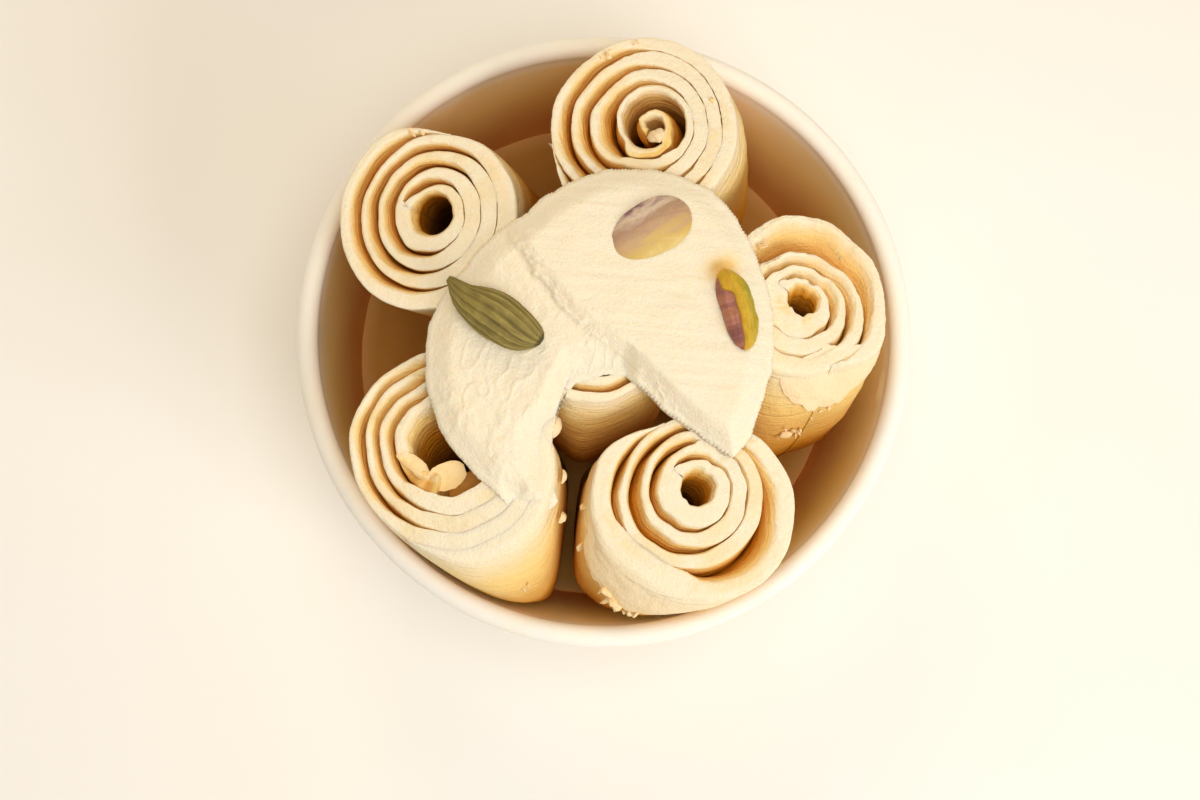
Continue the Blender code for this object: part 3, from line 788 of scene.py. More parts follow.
def edge_radii(roll, most, phi, bearing, thick, gap, gap_inside):
    """Radii of the sheet's inner and outer upper edge: a share of the most, by the gap beside it.

    A bowl or a shoulder makes the last turn's wider, and both are kept to a part of the thickness.
    """
    def room(space):
        return np.clip(space / FULL_GAP, 0.30 * (space > 0.0) + 0.02, 1.0)

    way_deg, half_deg, extra = roll.shoulder
    outer = 0.85 * most * room(gap) + extra * window(bearing, way_deg, half_deg) * (phi > phi[-1] - TAU)
    outer = np.minimum(outer, 0.45 * thick)
    # On the open side the inner edge is worn to a slope, widest in the last turn's bowl
    opened = ease(0.5 + 0.5 * np.cos(turn_off(bearing, roll.open_deg)))
    inner = most * (1.0 + 1.5 * opened * roll.open_share) * room(gap_inside)
    way_deg, half_deg, extra = roll.bowl
    inner = inner + extra * window(bearing, way_deg, half_deg) * ease((phi - phi[-1] + TAU) / 0.5)
    inner = np.minimum(inner, 0.62 * thick)
    return inner, np.minimum(outer, np.maximum(thick - inner - LEAST_TOP, 0.3 * thick))


def top_lift(roll, phi, bearing, length, offset, level, grown):
    """How much higher or lower each point of the top stands: each turn its own way, crumbled, torn."""
    run = stack(length, 0.0, 0.0)
    crumbled = rough(stack(length[:, None], 40.0 * offset, 0.0), 0.0009, roll.seed + 30, 3)
    lift = TURN_LIFT * rough(run, 0.006, roll.seed + 20, 2)[:, None] + CRUMBLE * roll.crumbly * crumbled
    lift = lift * level[:, None] + HAIR * grown[:, None]
    turn = phi / TAU
    for first_turn, last_turn, way_deg, half_deg, depth in roll.sunk:
        where = (window(bearing, way_deg, half_deg) ** 0.6 * (turn >= first_turn)
                 * (1.0 - from_turn(turn, last_turn, 0.25)))
        torn = 1.0 + 0.35 * rough(run, 0.0011, roll.seed + 40, 2)
        lift = lift - (depth * where * torn)[:, None]
    return lift


def side_relief(roll, phi, length, share, near_top, inward, level):
    """Relief of the sheet's sides: crumbled near the top, most round the eye, and scraped below."""
    eye_share = 1.0 - ease(phi / TAU - 0.2)[:, None]
    fray = rough(stack(length[:, None], share * 0.05, 0.0), 0.0008, roll.seed + 50, 2)
    sides = (inward * eye_share * 0.4 + 0.6) * level[:, None] * roll.crumbly
    crumbled = CRUMBLE * fray * sides * np.where(inward, 1.0, -1.0) * near_top
    slant = share * (roll.top_z - FOOT_Z) + 0.10 * length[:, None]
    lines = rough(stack(length[:, None] * 0.12, slant, 0.0), 0.0016, roll.seed + 60, 3)
    # Lines fade where the free end lies on the turn below
    calm = ease(np.abs(phi - phi[-1]) / 0.6) * ease(np.abs(phi - phi[-1] + TAU) / 0.6)
    return crumbled + SCRAPE_DEPTH * lines * (1.0 - near_top) * calm[:, None]


def roll_surface(roll, settings):
    """Points, UV and painted shade ("depth") of a whole roll, as a grid of stations along the sheet by its
    section.

    Stations lie evenly along the wound sheet; each carries the section, whose columns are laid
    across the sheet's thickness there and down its height, and settle puts them in place.
    """
    fine = np.linspace(-TAU * roll.curl, TAU * roll.turns, 6000)
    spiral = inner_edge(roll, fine)
    run = np.concatenate(((0.0,), np.cumsum(np.hypot(np.diff(fine) * spiral[1:], np.diff(spiral)))))
    phi = np.interp(np.linspace(0.0, run[-1], int(run[-1] / settings.station)), run, fine)
    length = np.interp(phi, fine, run)
    inner, thick, gap, bearing, closed = wound_sheet(roll, phi, settings.lopsided)
    gap_inside = np.interp(phi - TAU, phi, gap, left=OPEN_GAP)
    radii = edge_radii(roll, settings.rounding, phi, bearing, thick, gap, gap_inside)
    inner_round, outer_round = radii[0][:, None], radii[1][:, None]
    across, low, down = sheet_section()
    inward, outward = across[:, 2] < 0.5, across[:, 2] > 0.5
    offset = across[:, 0] * inner_round + across[:, 1] * outer_round + across[:, 2] * thick[:, None]
    drop = low[:, 0] * inner_round * INNER_STEEPNESS + low[:, 1] * outer_round
    height = roll.top_z - FOOT_Z
    share = 1.0 - (drop + down * (height - drop)) / height
    near_top = ease((share - 0.90) / 0.10)

    # Where the sheet's start melts into the turn above it, or turns have grown together, they lie level
    grown = np.interp(phi - TAU, phi, closed)
    level = np.ones_like(phi)
    if roll.round_eye:
        level = ease(np.abs(phi) / 0.9) * ease(np.abs(phi - TAU) / 0.9)
    level = level * (1.0 - np.maximum(closed, grown))
    lift = top_lift(roll, phi, bearing, length, offset, level, grown)
    edge = inner[:, None] + offset + side_relief(roll, phi, length, share, near_top, inward, level)
    # Turns lie closer together further down, so each gap is a groove that narrows
    narrow = NARROWING * ease((1.0 - share) * height / NARROWING_OVER)
    last = (phi > phi[-1] - TAU)[:, None] & outward[None, :]
    in_eye = (phi < TAU)[:, None] & inward[None, :]
    held = 1.0 - ease(1.0 - (phi[-1] - TAU - phi) / END_REACH)[:, None]
    edge = edge + np.where(inward, -gap_inside[:, None] * ~in_eye, gap[:, None] * ~last * held) * narrow
    way_out = np.clip(phi / phi[-1], 0.0, 1.0)[:, None]
    points, below = settle(roll, bearing[:, None], edge, share, way_out, lift * near_top)

    # Painted shade, kept as "depth": golden to brown with the depth below the top, fast in the eye and gaps,
    # slowly down the outer side, paler on the eye's lit side
    way_deg, half_deg, extra = roll.eye_lit_side
    eye_shade_reach = roll.eye_shade_depth * (1.0 + extra * window(bearing, way_deg, half_deg))[:, None]
    reach = np.where(last, SIDE_SHADE_DEPTH, np.where(in_eye, eye_shade_reach, roll.gap_shade_depth))
    depth = 1.0 - np.exp(-(below / reach) ** 0.75)
    return points, stack(length[:, None], points[..., 2]), depth


class OBJECT_OT_ice_cream_rolls(bpy.types.Operator):
    """Build the six rolls of scraped ice cream"""

    bl_idname = "ice_cream.rolls"
    bl_label = "Rolls"

    def execute(self, context):
        settings = context.scene.ice_cream_cream
        cream = frozen_cream("rolled_frozen_cream", settings, settings.rolled, streaks=True)
        for roll in ROLLS:
            points, uv, depth = roll_surface(roll, settings)
            rows, columns = points.shape[:2]
            make_piece(roll.name + "_sheet", points, close_rings(rows, columns), cream, uv,
                       {"depth": depth}, sharp_deg=42.0, nodes=(roll.name,))
        return {"FINISHED"}


# Flaps, torn pieces and crumbs

# Flaps over the last turn: roll, first and last bearing, reach down its outside and in over its top, seed
FLAPS = (
    ("roll_front_right", -170.0, -66.0, 0.0120, 0.0034, 201),
    ("roll_right", -106.0, -14.0, 0.0100, 0.0040, 202),
)
# Radius of a flap's bend, its thickness, and how far its underside lies in the roll
FLAP_HINGE = 0.0012
FLAP_THICKNESS = 0.00034
FLAP_SINK = 0.00025


def last_edge(roll, bearing, settings):
    """Distance of the last turn's outer side from its roll's middle at each bearing."""
    fine = np.linspace(-TAU * roll.curl, TAU * roll.turns, 3000)
    inner, thick = wound_sheet(roll, fine, settings.lopsided)[:2]
    end = TAU * roll.turns
    phi = end - (end - math.radians(roll.start_deg) + bearing) % TAU
    return np.interp(phi, fine, inner + thick)


def flap_surface(roll, settings, from_deg, to_deg, reach, cover, seed):
    """Closed grid of a flap: it starts on the last turn's top, bends over its edge and hangs down.

    s runs from the top's middle outwards and down; a soft hinge of radius r turns it over the edge:
    outwards by -r log(1 + exp(-s / r)) and down by r log(1 + exp(s / r)).
    """
    u = np.linspace(0.0, 1.0, 180)
    v = np.linspace(0.0, 1.0, 64)[None, :]
    ends = np.minimum(u, 1.0 - u)
    bearing = np.radians(from_deg + (to_deg - from_deg) * u)
    run = stack(u * 0.030, 0.0, 0.0)
    torn = 0.0012 * rough(run, 0.0045, seed, 2) + 0.0006 * rough(run, 0.0011, seed + 1, 2)
    length = reach * np.sin(math.pi * u) ** 0.55 + torn * ease(6.0 * ends)
    on_top = 0.0004 + cover * np.sin(math.pi * u ** 0.9) ** 0.75
    on_top = (on_top + 0.0005 * rough(run + 0.5, 0.0022, seed + 3, 2) * ease(8.0 * ends))[:, None]
    s = -on_top + v * (on_top + np.maximum(length, 0.0004)[:, None])
    r = FLAP_HINGE
    out = -r * np.log1p(np.exp(-s / r))
    down = r * np.log1p(np.exp(s / r))
    over = 1.0 / (1.0 + np.exp(-s / r))
    border = ease(np.minimum(v / 0.12, 8.0 * ends[:, None]))
    creased = rough(stack(s, 0.03 * u[:, None], 0.0), 0.0034, seed + 2, 4)
    high = 0.00008 + border * (FLAP_THICKNESS + 0.00022 * creased)
    outer = last_edge(roll, bearing, settings)[:, None]
    share = 1.0 - down / (roll.top_z - FOOT_Z)
    sides = []
    for offset in (high, np.full_like(high, -FLAP_SINK)):
        edge = outer + out + over * offset
        points, _ = settle(roll, bearing[:, None], edge, share, np.ones_like(edge), (1.0 - over) * offset)
        sides.append(points)
    points = np.concatenate((sides[0], sides[1][:, ::-1]), axis=1)
    # Painted shade: the flap darkens a little down to its free edge, and more on its underside
    depth = np.broadcast_to(0.04 + 0.08 * v, high.shape)
    return points, np.concatenate((depth, depth[:, ::-1] + 0.1), axis=1)


# Torn, curled pieces: place, length and width, yaw, tilt across, curl in degrees, seed and how golden its
# painted shade makes it
SHELLS = (
    ((-0.0350, -0.0252, 0.0578), 0.0072, 0.0034, -38.0, -28.0, -62.0, 301, 0.14),
    ((-0.0292, -0.0272, 0.0572), 0.0070, 0.0052, 18.0, 14.0, -48.0, 302, 0.16),
    ((-0.0098, -0.0186, 0.0586), 0.0040, 0.0026, 70.0, 30.0, 40.0, 303, 0.10),
    ((-0.0108, -0.0222, 0.0582), 0.0034, 0.0020, 95.0, 40.0, 40.0, 304, 0.10),
    ((0.0085, 0.0350, 0.0572), 0.0034, 0.0022, 30.0, 20.0, 120.0, 305, 0.10),
    ((-0.0080, -0.0272, 0.0560), 0.0026, 0.0012, 84.0, 50.0, 40.0, 306, 0.10),
    ((-0.0250, -0.0290, 0.0535), 0.0080, 0.0064, 20.0, -22.0, -40.0, 308, 0.50),
    ((-0.0082, -0.0345, 0.0530), 0.0022, 0.0014, 70.0, 40.0, 40.0, 307, 0.12),
)
# Crumbs on a roll: its name, bearing, distance beyond or inside its outer edge, depth below its top,
# size of a crumb and how many
CRUMBS = (
    ("roll_right", -86.0, 0.0002, 0.0165, 0.0009, 4), ("roll_right", -74.0, 0.0001, 0.0185, 0.0008, 3),
    ("roll_right", -60.0, 0.0002, 0.0125, 0.0007, 3), ("roll_right", 120.0, -0.0030, 0.0, 0.0004, 8),
    ("roll_right", 60.0, -0.0040, 0.0, 0.0004, 8),
    ("roll_front_right", -128.0, 0.0003, 0.0120, 0.0012, 5),
    ("roll_front_right", -112.0, 0.0002, 0.0145, 0.0010, 4),
    ("roll_front_right", 178.0, 0.0000, 0.0050, 0.0009, 2),
    ("roll_front_right", 196.0, 0.0000, 0.0110, 0.0009, 2),
    ("roll_back", 118.0, -0.0010, 0.0, 0.0006, 4), ("roll_back", 96.0, -0.0008, 0.0, 0.0005, 4),
    ("roll_back", 20.0, -0.0030, 0.0, 0.0004, 6), ("roll_back_left", 96.0, -0.0006, 0.0, 0.0006, 4),
    ("roll_middle", -150.0, 0.0002, 0.0040, 0.0005, 4), ("roll_front_left", -60.0, 0.0001, 0.0120, 0.0004, 3),
)


# Proportions of a crumb
FLAKE = (1.5, 0.9, 0.35)
CRUMB_SEED = 400
LUMP_SEED = 410
# Painted shade of the crumbs, as a place on the cream's ramp from pale to brown
CRUMB_SHADE = 0.16


def shell_surface(place, length, width, yaw_deg, tilt_deg, curl_deg, seed):
    """Closed grid of a curled leaf: an arc across, narrow at both ends, its border torn."""
    u = np.linspace(0.0, 1.0, 40)[:, None]
    v = np.linspace(-1.0, 1.0, 25)[None, :]
    run = stack(u * 0.012, v * 0.004, 0.0)
    half = 0.5 * width * (0.10 + 0.90 * np.sin(math.pi * (0.03 + 0.94 * u)) ** 0.6)
    half = half * (1.0 + 0.13 * rough(run, 0.0030, seed, 3))
    curl = math.radians(curl_deg)
    y = half * np.sin(v * curl) / math.sin(curl)
    z = half * (np.cos(v * curl) - math.cos(curl)) / math.sin(curl)
    x = (u - 0.5) * length + 0.0003 * rough(run + 1.0, 0.0030, seed + 1, 2) * (1.0 - np.abs(2 * u - 1.0))
    z = z + 0.00007 * rough(run, 0.0024, seed + 2, 2) - 0.0006 * (2.0 * u - 1.0) ** 2
    thin = 0.00040 * (1.0 - 0.7 * v ** 2) * np.sin(math.pi * (0.06 + 0.88 * u))
    yaw, tilt = math.radians(yaw_deg), math.radians(tilt_deg)
    sides = []
    for height in (z, z - thin):
        ty = y * math.cos(tilt) - height * math.sin(tilt)
        tz = y * math.sin(tilt) + height * math.cos(tilt)
        sides.append(stack(place[0] + x * math.cos(yaw) - ty * math.sin(yaw),
                           place[1] + x * math.sin(yaw) + ty * math.cos(yaw), place[2] + tz))
    return np.concatenate((sides[0], sides[1][:, ::-1]), axis=1)


def crumb_surfaces(settings):
    """Points and faces of all crumbs: lumpy flattened balls, turned at random, against the rolls."""
    chance = np.random.default_rng(CRUMB_SEED)
    a = np.linspace(0.12, math.pi - 0.12, 7)[:, None]
    b = np.linspace(0.0, TAU, 10, endpoint=False)[None, :]
    ball = stack(np.sin(a) * np.cos(b), np.sin(a) * np.sin(b), np.cos(a))
    points, faces = [], []
    for name, way_deg, beyond, below, size, count in CRUMBS:
        roll = BY_NAME[name]
        bearing = np.radians(way_deg + chance.uniform(-7.0, 7.0, count))
        outer = last_edge(roll, bearing, settings)
        edge = outer + beyond + chance.uniform(-0.0008, 0.0, count) * (beyond < 0.0)
        share = 1.0 - (below + chance.uniform(-0.002, 0.002, count) * (below > 0.0)) / (roll.top_z - FOOT_Z)
        places, _ = settle(roll, bearing, edge, share, np.ones(count), 0.0)
        for place in places:
            scale = size * chance.uniform(0.5, 1.1) * np.array(FLAKE) * chance.uniform(0.6, 1.3, 3)
            lumps = 1.0 + 0.40 * rough(ball * 0.001 + chance.uniform(0.0, 1.0), 0.0008, LUMP_SEED, 2)
            turned = np.linalg.qr(chance.normal(size=(3, 3)))[0]
            grid = place + ball * lumps[..., None] * scale @ turned
            faces.extend(close_rings(*grid.shape[:2], start=sum(len(p) for p in points)))
            points.append(grid.reshape(-1, 3))
    return np.concatenate(points), faces


class OBJECT_OT_loose_bits(bpy.types.Operator):
    """Build the flaps, torn pieces and crumbs of ice cream"""

    bl_idname = "ice_cream.loose_bits"
    bl_label = "Flaps and crumbs"

    def execute(self, context):
        settings = context.scene.ice_cream_cream
        cream = frozen_cream("torn_frozen_cream", settings, settings.torn, streaks=False, inside=0.0)
        for name, *sizes in FLAPS:
            points, depth = flap_surface(BY_NAME[name], settings, *sizes)
            make_piece(name + "_flap", points, close_rings(*points.shape[:2]), cream,
                       values={"depth": depth})
        # Each torn piece gets its own painted shade
        for number, (*values, tone) in enumerate(SHELLS):
            points = shell_surface(*values)
            make_piece("torn_piece_%d" % number, points, close_rings(*points.shape[:2]), cream,
                       values={"depth": np.full(points.shape[:2], tone)}, sharp_deg=60.0)
        points, faces = crumb_surfaces(settings)
        make_piece("crumbs_of_cream", points, faces, cream,
                   values={"depth": np.full(len(points), CRUMB_SHADE)})
        return {"FINISHED"}


# Sheet over the rolls

def fold_distance(xy):
    """Distance to the right of the fold's line (negative to its left) and length along it.

    The line's bow off its chord is taken at each length along the chord.
    """
    line = np.array(FOLD_LINE)
    chord = (line[-1] - line[0]) / np.linalg.norm(line[-1] - line[0])
    right = np.array((-chord[1], chord[0]))
    s_line, bow = (line - line[0]) @ chord, (line - line[0]) @ right
    rel = xy - line[0]
    s = rel @ chord
    return rel @ right - np.interp(s, s_line, bow), s


def cap_top(xy, edge):
    """Height of the sheet's upper side in plan, without its fine relief; edge is the thinning."""
    across, _ = fold_distance(xy)
    lift = FOLD_HEIGHT * ease(across / 0.003) * (1.0 - 0.7 * ease(across / FOLD_REACH))
    return cap_underside(xy) + CAP_THICKNESS * edge + lift * edge


def blob(xy, place, long, wide, yaw_deg):
    """A bump of height 1 at a place: a Gaussian, long by wide, turned by yaw."""
    yaw = math.radians(yaw_deg)
    x, y = xy[..., 0] - place[0], xy[..., 1] - place[1]
    a = (x * math.cos(yaw) + y * math.sin(yaw)) / long
    b = (-x * math.sin(yaw) + y * math.cos(yaw)) / wide
    return np.exp(-(a * a + b * b))


# The torn step along the fold: its height, its crumbled crest and the ditch at its foot
STEP_HEIGHT = 0.00042
STEP_CRUMBLE = 0.00034
STEP_DITCH = 0.00016
# Heights of the sheet's scrape lines, of its creases and of its slow wave
SHEET_SCRAPE = 0.00011
CREASE = 0.00024
SHEET_WAVE = 0.00012
# A crescent dimple, the swell under it and the hollow above the sliver: height, place, length, width, yaw
DIMPLES = (
    (-0.00040, (0.0125, 0.0052), 0.0024, 0.0008, -14),
    (0.00022, (0.0120, 0.0020), 0.0024, 0.0014, 0),
    (-0.0012, (0.0200, 0.0098), 0.0028, 0.0020, 20),
)
# Painted shade, golden, round the hollow above the sliver, where the sheet is thin
HOLLOW_SHADE = 0.30
HOLLOW_SHADE_SHAPE = ((0.0200, 0.0100), 0.0030, 0.0022, 20)


def cap_relief(xy):
    """Fine relief of the sheet: torn step at the fold, wrinkles left of it, scrape lines right of it."""
    across, along = fold_distance(xy)
    flat = stack(xy[..., 0], xy[..., 1], 0.0)
    right = ease(across / 0.002)
    on_fold = ease(along / 0.005) * (1.0 - 0.55 * ease((along - 0.024) / 0.012))
    # The step's line wanders, and its upper border is crumbled
    torn = across + 0.00045 * rough(flat, 0.0021, 71, 2) + 0.00016 * rough(flat, 0.0006, 76, 2)
    z = STEP_HEIGHT * (ease(torn / 0.0008 + 0.5) - ease(torn / 0.0050)) * on_fold
    crest = np.exp(-((torn - 0.0007) / 0.0007) ** 2)
    z = z + STEP_CRUMBLE * crest * np.maximum(rough(flat, 0.0007, 77, 3), -0.2) * on_fold
    z = z - STEP_DITCH * np.exp(-((torn + 0.0010) / 0.0009) ** 2) * on_fold
    # Scrape lines a little off the x axis, 0.8 mm apart and 15 mm long
    tilt = math.radians(-4.0)
    u = xy[..., 0] * math.cos(tilt) + xy[..., 1] * math.sin(tilt)
    v = -xy[..., 0] * math.sin(tilt) + xy[..., 1] * math.cos(tilt)
    scrape = rough(stack(u * 0.07, v, 0.0), 0.0012, 72, 3)
    z = z + SHEET_SCRAPE * scrape * right
    # Wrinkled left part, strongest towards its lower end
    low = 0.35 + 0.65 * ease((0.004 - xy[..., 1]) / 0.02)
    bent = 0.0008 * rough(flat, 0.0045, 78, 2)
    warp = stack(xy[..., 0] * 1.25 + bent, xy[..., 1] * 0.62 - 0.35 * xy[..., 0] + bent, 0.0)
    crease = np.maximum(0.30 - np.abs(rough(warp, 0.0026, 73, 2)), 0.0) / 0.30
    z = z + (CREASE * crease * low + 0.00008 * rough(flat, 0.0016, 74, 3)) * (1.0 - right)
    z = z + SHEET_WAVE * rough(flat, 0.010, 75, 2)
    for height, *shape in DIMPLES:
        z = z + height * blob(xy, *shape)
    return z


def outline_distance(xy, outline):
    """Distance of each point from the nearest of an outline's points, and which one that is."""
    away, nearest = [], []
    for row in xy:
        apart = np.hypot(row[:, None, 0] - outline[None, :, 0], row[:, None, 1] - outline[None, :, 1])
        nearest.append(apart.argmin(axis=1))
        away.append(apart.min(axis=1))
    return np.array(away), np.array(nearest)


def cap_plan(bearing_deg, distance):
    """Places in plan from bearing and distance, with the tail's swing to the right."""
    wrapped = (bearing_deg + 180.0) % 360.0 - 180.0
    swing = ease((wrapped + 165.0) / 45.0) * (1.0 - ease((wrapped + 118.0) / 20.0))
    bearing = np.radians(wrapped + SWING_DEG * swing * (distance / SWING_AT) ** 2)
    return np.array(CAP_CENTRE) + distance[..., None] * stack(np.cos(bearing), np.sin(bearing))


def melting(xy):
    """How far the sheet has melted into the middle roll, and its tail into the front left one."""
    x, y = xy[..., 0], xy[..., 1]
    apex = (ease((x + 0.0105) / 0.0030) * (1.0 - ease((x - 0.0020) / 0.0030))
            * ease((y + 0.0145) / 0.0030) * (1.0 - ease((y + 0.0060) / 0.0040)))
    tail = ease((x + 0.0205) / 0.0050) * ease((-0.0140 - y) / 0.0060) * (1.0 - ease((x + 0.0040) / 0.0030))
    return apex, tail


# Steps round the sheet, rows over its top and its underside, and steps over which a corner is rounded
CAP_STEPS = 640
CAP_ROWS = 118
UNDER_ROWS = 10
CORNER_STEPS = 9


def cap_bearings():
    """Bearings of the outline's stations, closer together where the outline turns fast."""
    fine = np.linspace(0.0, 360.0, 7201)
    listed = np.array(CAP_OUTLINE + ((CAP_OUTLINE[0][0] + 360.0, CAP_OUTLINE[0][1]),))
    bearing = listed[0, 0] + fine
    radius = np.interp(bearing, listed[:, 0], listed[:, 1])
    step = np.hypot(np.diff(radius), radius[1:] * np.radians(np.diff(bearing)))
    run = np.concatenate(((0.0,), np.cumsum(step + 0.00001)))
    even = np.linspace(0.0, run[-1], CAP_STEPS, endpoint=False)
    bearing = np.interp(even, run, bearing)
    radius = np.interp(bearing, listed[:, 0], listed[:, 1])
    # Corners of the listed outline are rounded over about 2.5 mm
    weights = np.hanning(CORNER_STEPS + 2)[1:-1]
    weights /= weights.sum()
    wrap = np.concatenate((radius[-CORNER_STEPS:], radius, radius[:CORNER_STEPS]))
    radius = np.convolve(wrap, weights, "same")[CORNER_STEPS:-CORNER_STEPS]
    return bearing, radius, even


class OBJECT_OT_scraped_sheet(bpy.types.Operator):
    """Build the scraped sheet of ice cream that lies over the rolls"""

    bl_idname = "ice_cream.scraped_sheet"
    bl_label = "Sheet over the rolls"

    def execute(self, context):
        settings = context.scene.ice_cream_cream
        bearing, radius, run = cap_bearings()
        border = stack(run, 0.0, 0.0)
        frayed = 0.00010 * rough(border, 0.0011, 81, 3) + 0.00024 * rough(border, 0.0045, 82, 2)
        frayed = frayed * np.minimum(ease(run / 0.004), ease((run[-1] - run) / 0.004))
        part = np.sin(np.linspace(0.02, 0.5 * math.pi, CAP_ROWS)) ** 0.8
        part[0] = 0.004
        smooth_xy = cap_plan(bearing[None, :], part[:, None] * radius[None, :])
        border_xy = smooth_xy[-1, ::2]
        away, nearest = outline_distance(smooth_xy, border_xy)
        tangent = np.roll(border_xy, -2, axis=0) - np.roll(border_xy, 2, axis=0)
        normal = stack(tangent[:, 1], -tangent[:, 0]) / np.linalg.norm(tangent, axis=1)[:, None]
        fray = (frayed[::2, None] * normal)[nearest]
        xy = smooth_xy + ease(1.0 - away / 0.0012)[..., None] * fray
        round_off = np.sqrt(np.clip(1.0 - (1.0 - np.clip(away / 0.0009, 0.0, 1.0)) ** 2, 0.0, 1.0))
        # The border melts into the front left roll round the tail's end, and into the middle roll
        apex, tail = melting(smooth_xy)
        melt = np.maximum(tail, apex)
        thin = 0.42 * (1.0 - melt)
        rise = ease(away / (0.0050 + 0.0035 * melt))
        edge = thin * round_off + (1.0 - thin) * rise
        top = cap_top(xy, edge) + cap_relief(xy) * (0.15 + 0.85 * ease(away / 0.0025))
        top = np.maximum(top, cap_underside(xy) - 0.00018 + 0.0004 * round_off)
        top = top - 0.00022 * melt * (1.0 - rise)
        top = top - 0.0015 * tail * (1.0 - ease(away / 0.0045))
        upper = np.concatenate((xy, top[..., None]), axis=-1)
        back = np.linspace(1.0, 0.004, UNDER_ROWS)
        under_xy = cap_plan(bearing[None, :], back[:, None] * radius[None, :])
        under_xy[0] = xy[-1]
        apex, tail = melting(under_xy)
        sink = 0.00045 * np.clip((back[:, None] - 0.9) / 0.1, 0.0, 1.0)
        sink = sink + (0.0004 * apex + 0.0018 * tail) * ease((back[:, None] - 0.55) / 0.35)
        below = cap_underside(under_xy) - sink
        below[0] = np.minimum(below[0], top[-1] - 0.00005)
        lower = np.concatenate((under_xy, below[..., None]), axis=-1)
        points = np.concatenate((upper, lower))
        # Painted shade: a touch on the underside, and golden round the hollow above the sliver
        depth = np.zeros(points.shape[:2])
        depth[CAP_ROWS:] = 0.05
        depth[:CAP_ROWS] += HOLLOW_SHADE * blob(xy, *HOLLOW_SHADE_SHAPE)
        cream = frozen_cream("scraped_frozen_cream", settings, settings.cream, streaks=False)
        make_piece("sheet_over_rolls", points, close_rings(*points.shape[:2]), cream,
                   points[..., :2], {"depth": depth}, sharp_deg=55.0, nodes=("scraped_sheet",))
        return {"FINISHED"}


# Toppings

def lay(place, yaw_deg, height_above, x, y, z):
    """Points of a topping in the sheet, from lengths along it, across it and up from its axis."""
    yaw = math.radians(yaw_deg)
    top = float(cap_top(np.array([place]), np.array([1.0]))[0])
    along = np.array((math.cos(yaw), math.sin(yaw), 0.0))
    side = np.array((-along[1], along[0], 0.0))
    origin = np.array((place[0], place[1], top + height_above))
    return origin + x[:, None, None] * along + y[..., None] * side + z[..., None] * np.array((0.0, 0.0, 1.0))


def dressed_oval(left, right, crown, belly, turn):
    """Rings of an uneven oval: at each place along, its own half widths and heights.

    The section is a superellipse whose left, right, upper and lower halves are scaled apart.
    """
    c, s = np.cos(turn)[None, :], np.sin(turn)[None, :]
    power = 0.9
    y = np.sign(c) * np.abs(c) ** power * np.where(c > 0, left[:, None], right[:, None])
    z = np.sign(s) * np.abs(s) ** power * np.where(s > 0, crown[:, None], belly[:, None])
    return y, z


POD_AXIS = 0.0200
POD_PLACE = (-0.0208, 0.0016)
POD_YAW = -34.0
POD_RISE = 0.0022
# Outline of the pod from stem to tip: place along, half width to the left and to the right in metres
POD_OUTLINE = (
    (0.0, 0.0005, 0.0006), (0.04, 0.0008, 0.0012), (0.09, 0.0009, 0.0022), (0.15, 0.0011, 0.0030),
    (0.21, 0.0013, 0.0036), (0.27, 0.0019, 0.0041), (0.38, 0.0029, 0.0046), (0.50, 0.0035, 0.0049),
    (0.60, 0.0036, 0.0049), (0.75, 0.0032, 0.0046), (0.86, 0.0027, 0.0037), (0.93, 0.0022, 0.0026),
    (0.975, 0.0016, 0.0014), (1.0, 0.0007, 0.0006),
)
HALF_LENGTH, HALF_WIDTH, HALF_HEIGHT = 0.0162, 0.0102, 0.0042
HALF_PLACE, HALF_YAW = (0.0069, 0.0167), 29.0
SLIVER_LENGTH, SLIVER_WIDTH, SLIVER_HEIGHT = 0.0152, 0.0062, 0.0044
SLIVER_PLACE, SLIVER_YAW = (0.0221, 0.0023), -74.0
# How far the nuts' axes lie above the sheet's top
HALF_RISE = -0.0004
SLIVER_RISE = 0.0004
# Veins to a nut's length and to its width
HALF_VEINS = (2.5, 5.0, 1.0)
SLIVER_VEINS = (2.2, 7.0, 1.0)


def pod_material(settings):
    """Dried cardamom husk: fibrous, ribbed lengthwise, dull with a faint waxy sheen, and a painted highlight
    on its ribs and painted shade in its grooves.
    """
    mat, tree, shader = new_material("dried_cardamom_husk", Roughness=0.62, IOR=1.45,
                                     Specular_IOR_Level=0.35)
    # Fibres 0.3 mm apart and 5 mm long
    fibre = noise(tree, drawn_along(tree, (4.0, 46.0, 1.0)), 1.0, 4.0, 0.7, distortion=0.4)
    # Fibres vary at random; the grooves' point value adds painted shade in the grooves and the tip, and where
    # it is low the ribs take the painted highlight
    dark = clamped_sum(tree, scaled(tree, fibre, 0.9, -0.28, clamp=True), point_value(tree, "groove"))
    tint = ramp(tree, dark, ((0.0, settings.pod_rib_highlight), (0.35, settings.pod), (1.0, settings.pod_groove_shade)))
    dress(tree, shader, tint, dark, 0.7, 0.0002, invert=True)
    return mat


def nut_material(name, stops, veins, bump_height, **fixed):
    """Raw pistachio: waxy flesh with a papery skin left on part of it; the value "band" tells where."""
    mat, tree, shader = new_material(name, **fixed)
    # Veins along the nut, so many to its length and its width, and grain of 0.3 mm
    blotch = noise(tree, drawn_along(tree, veins), 1.0, 5.0, 0.68, distortion=0.9)
    where = clamped_sum(tree, point_value(tree, "band"), scaled(tree, blotch, 0.70, -0.35))
    height = scaled(tree, blotch, 3.0, noise(tree, object_place(tree), 3000.0, 3.0, 0.6))
    dress(tree, shader, ramp(tree, where, stops), height, 0.6, bump_height)
    return mat


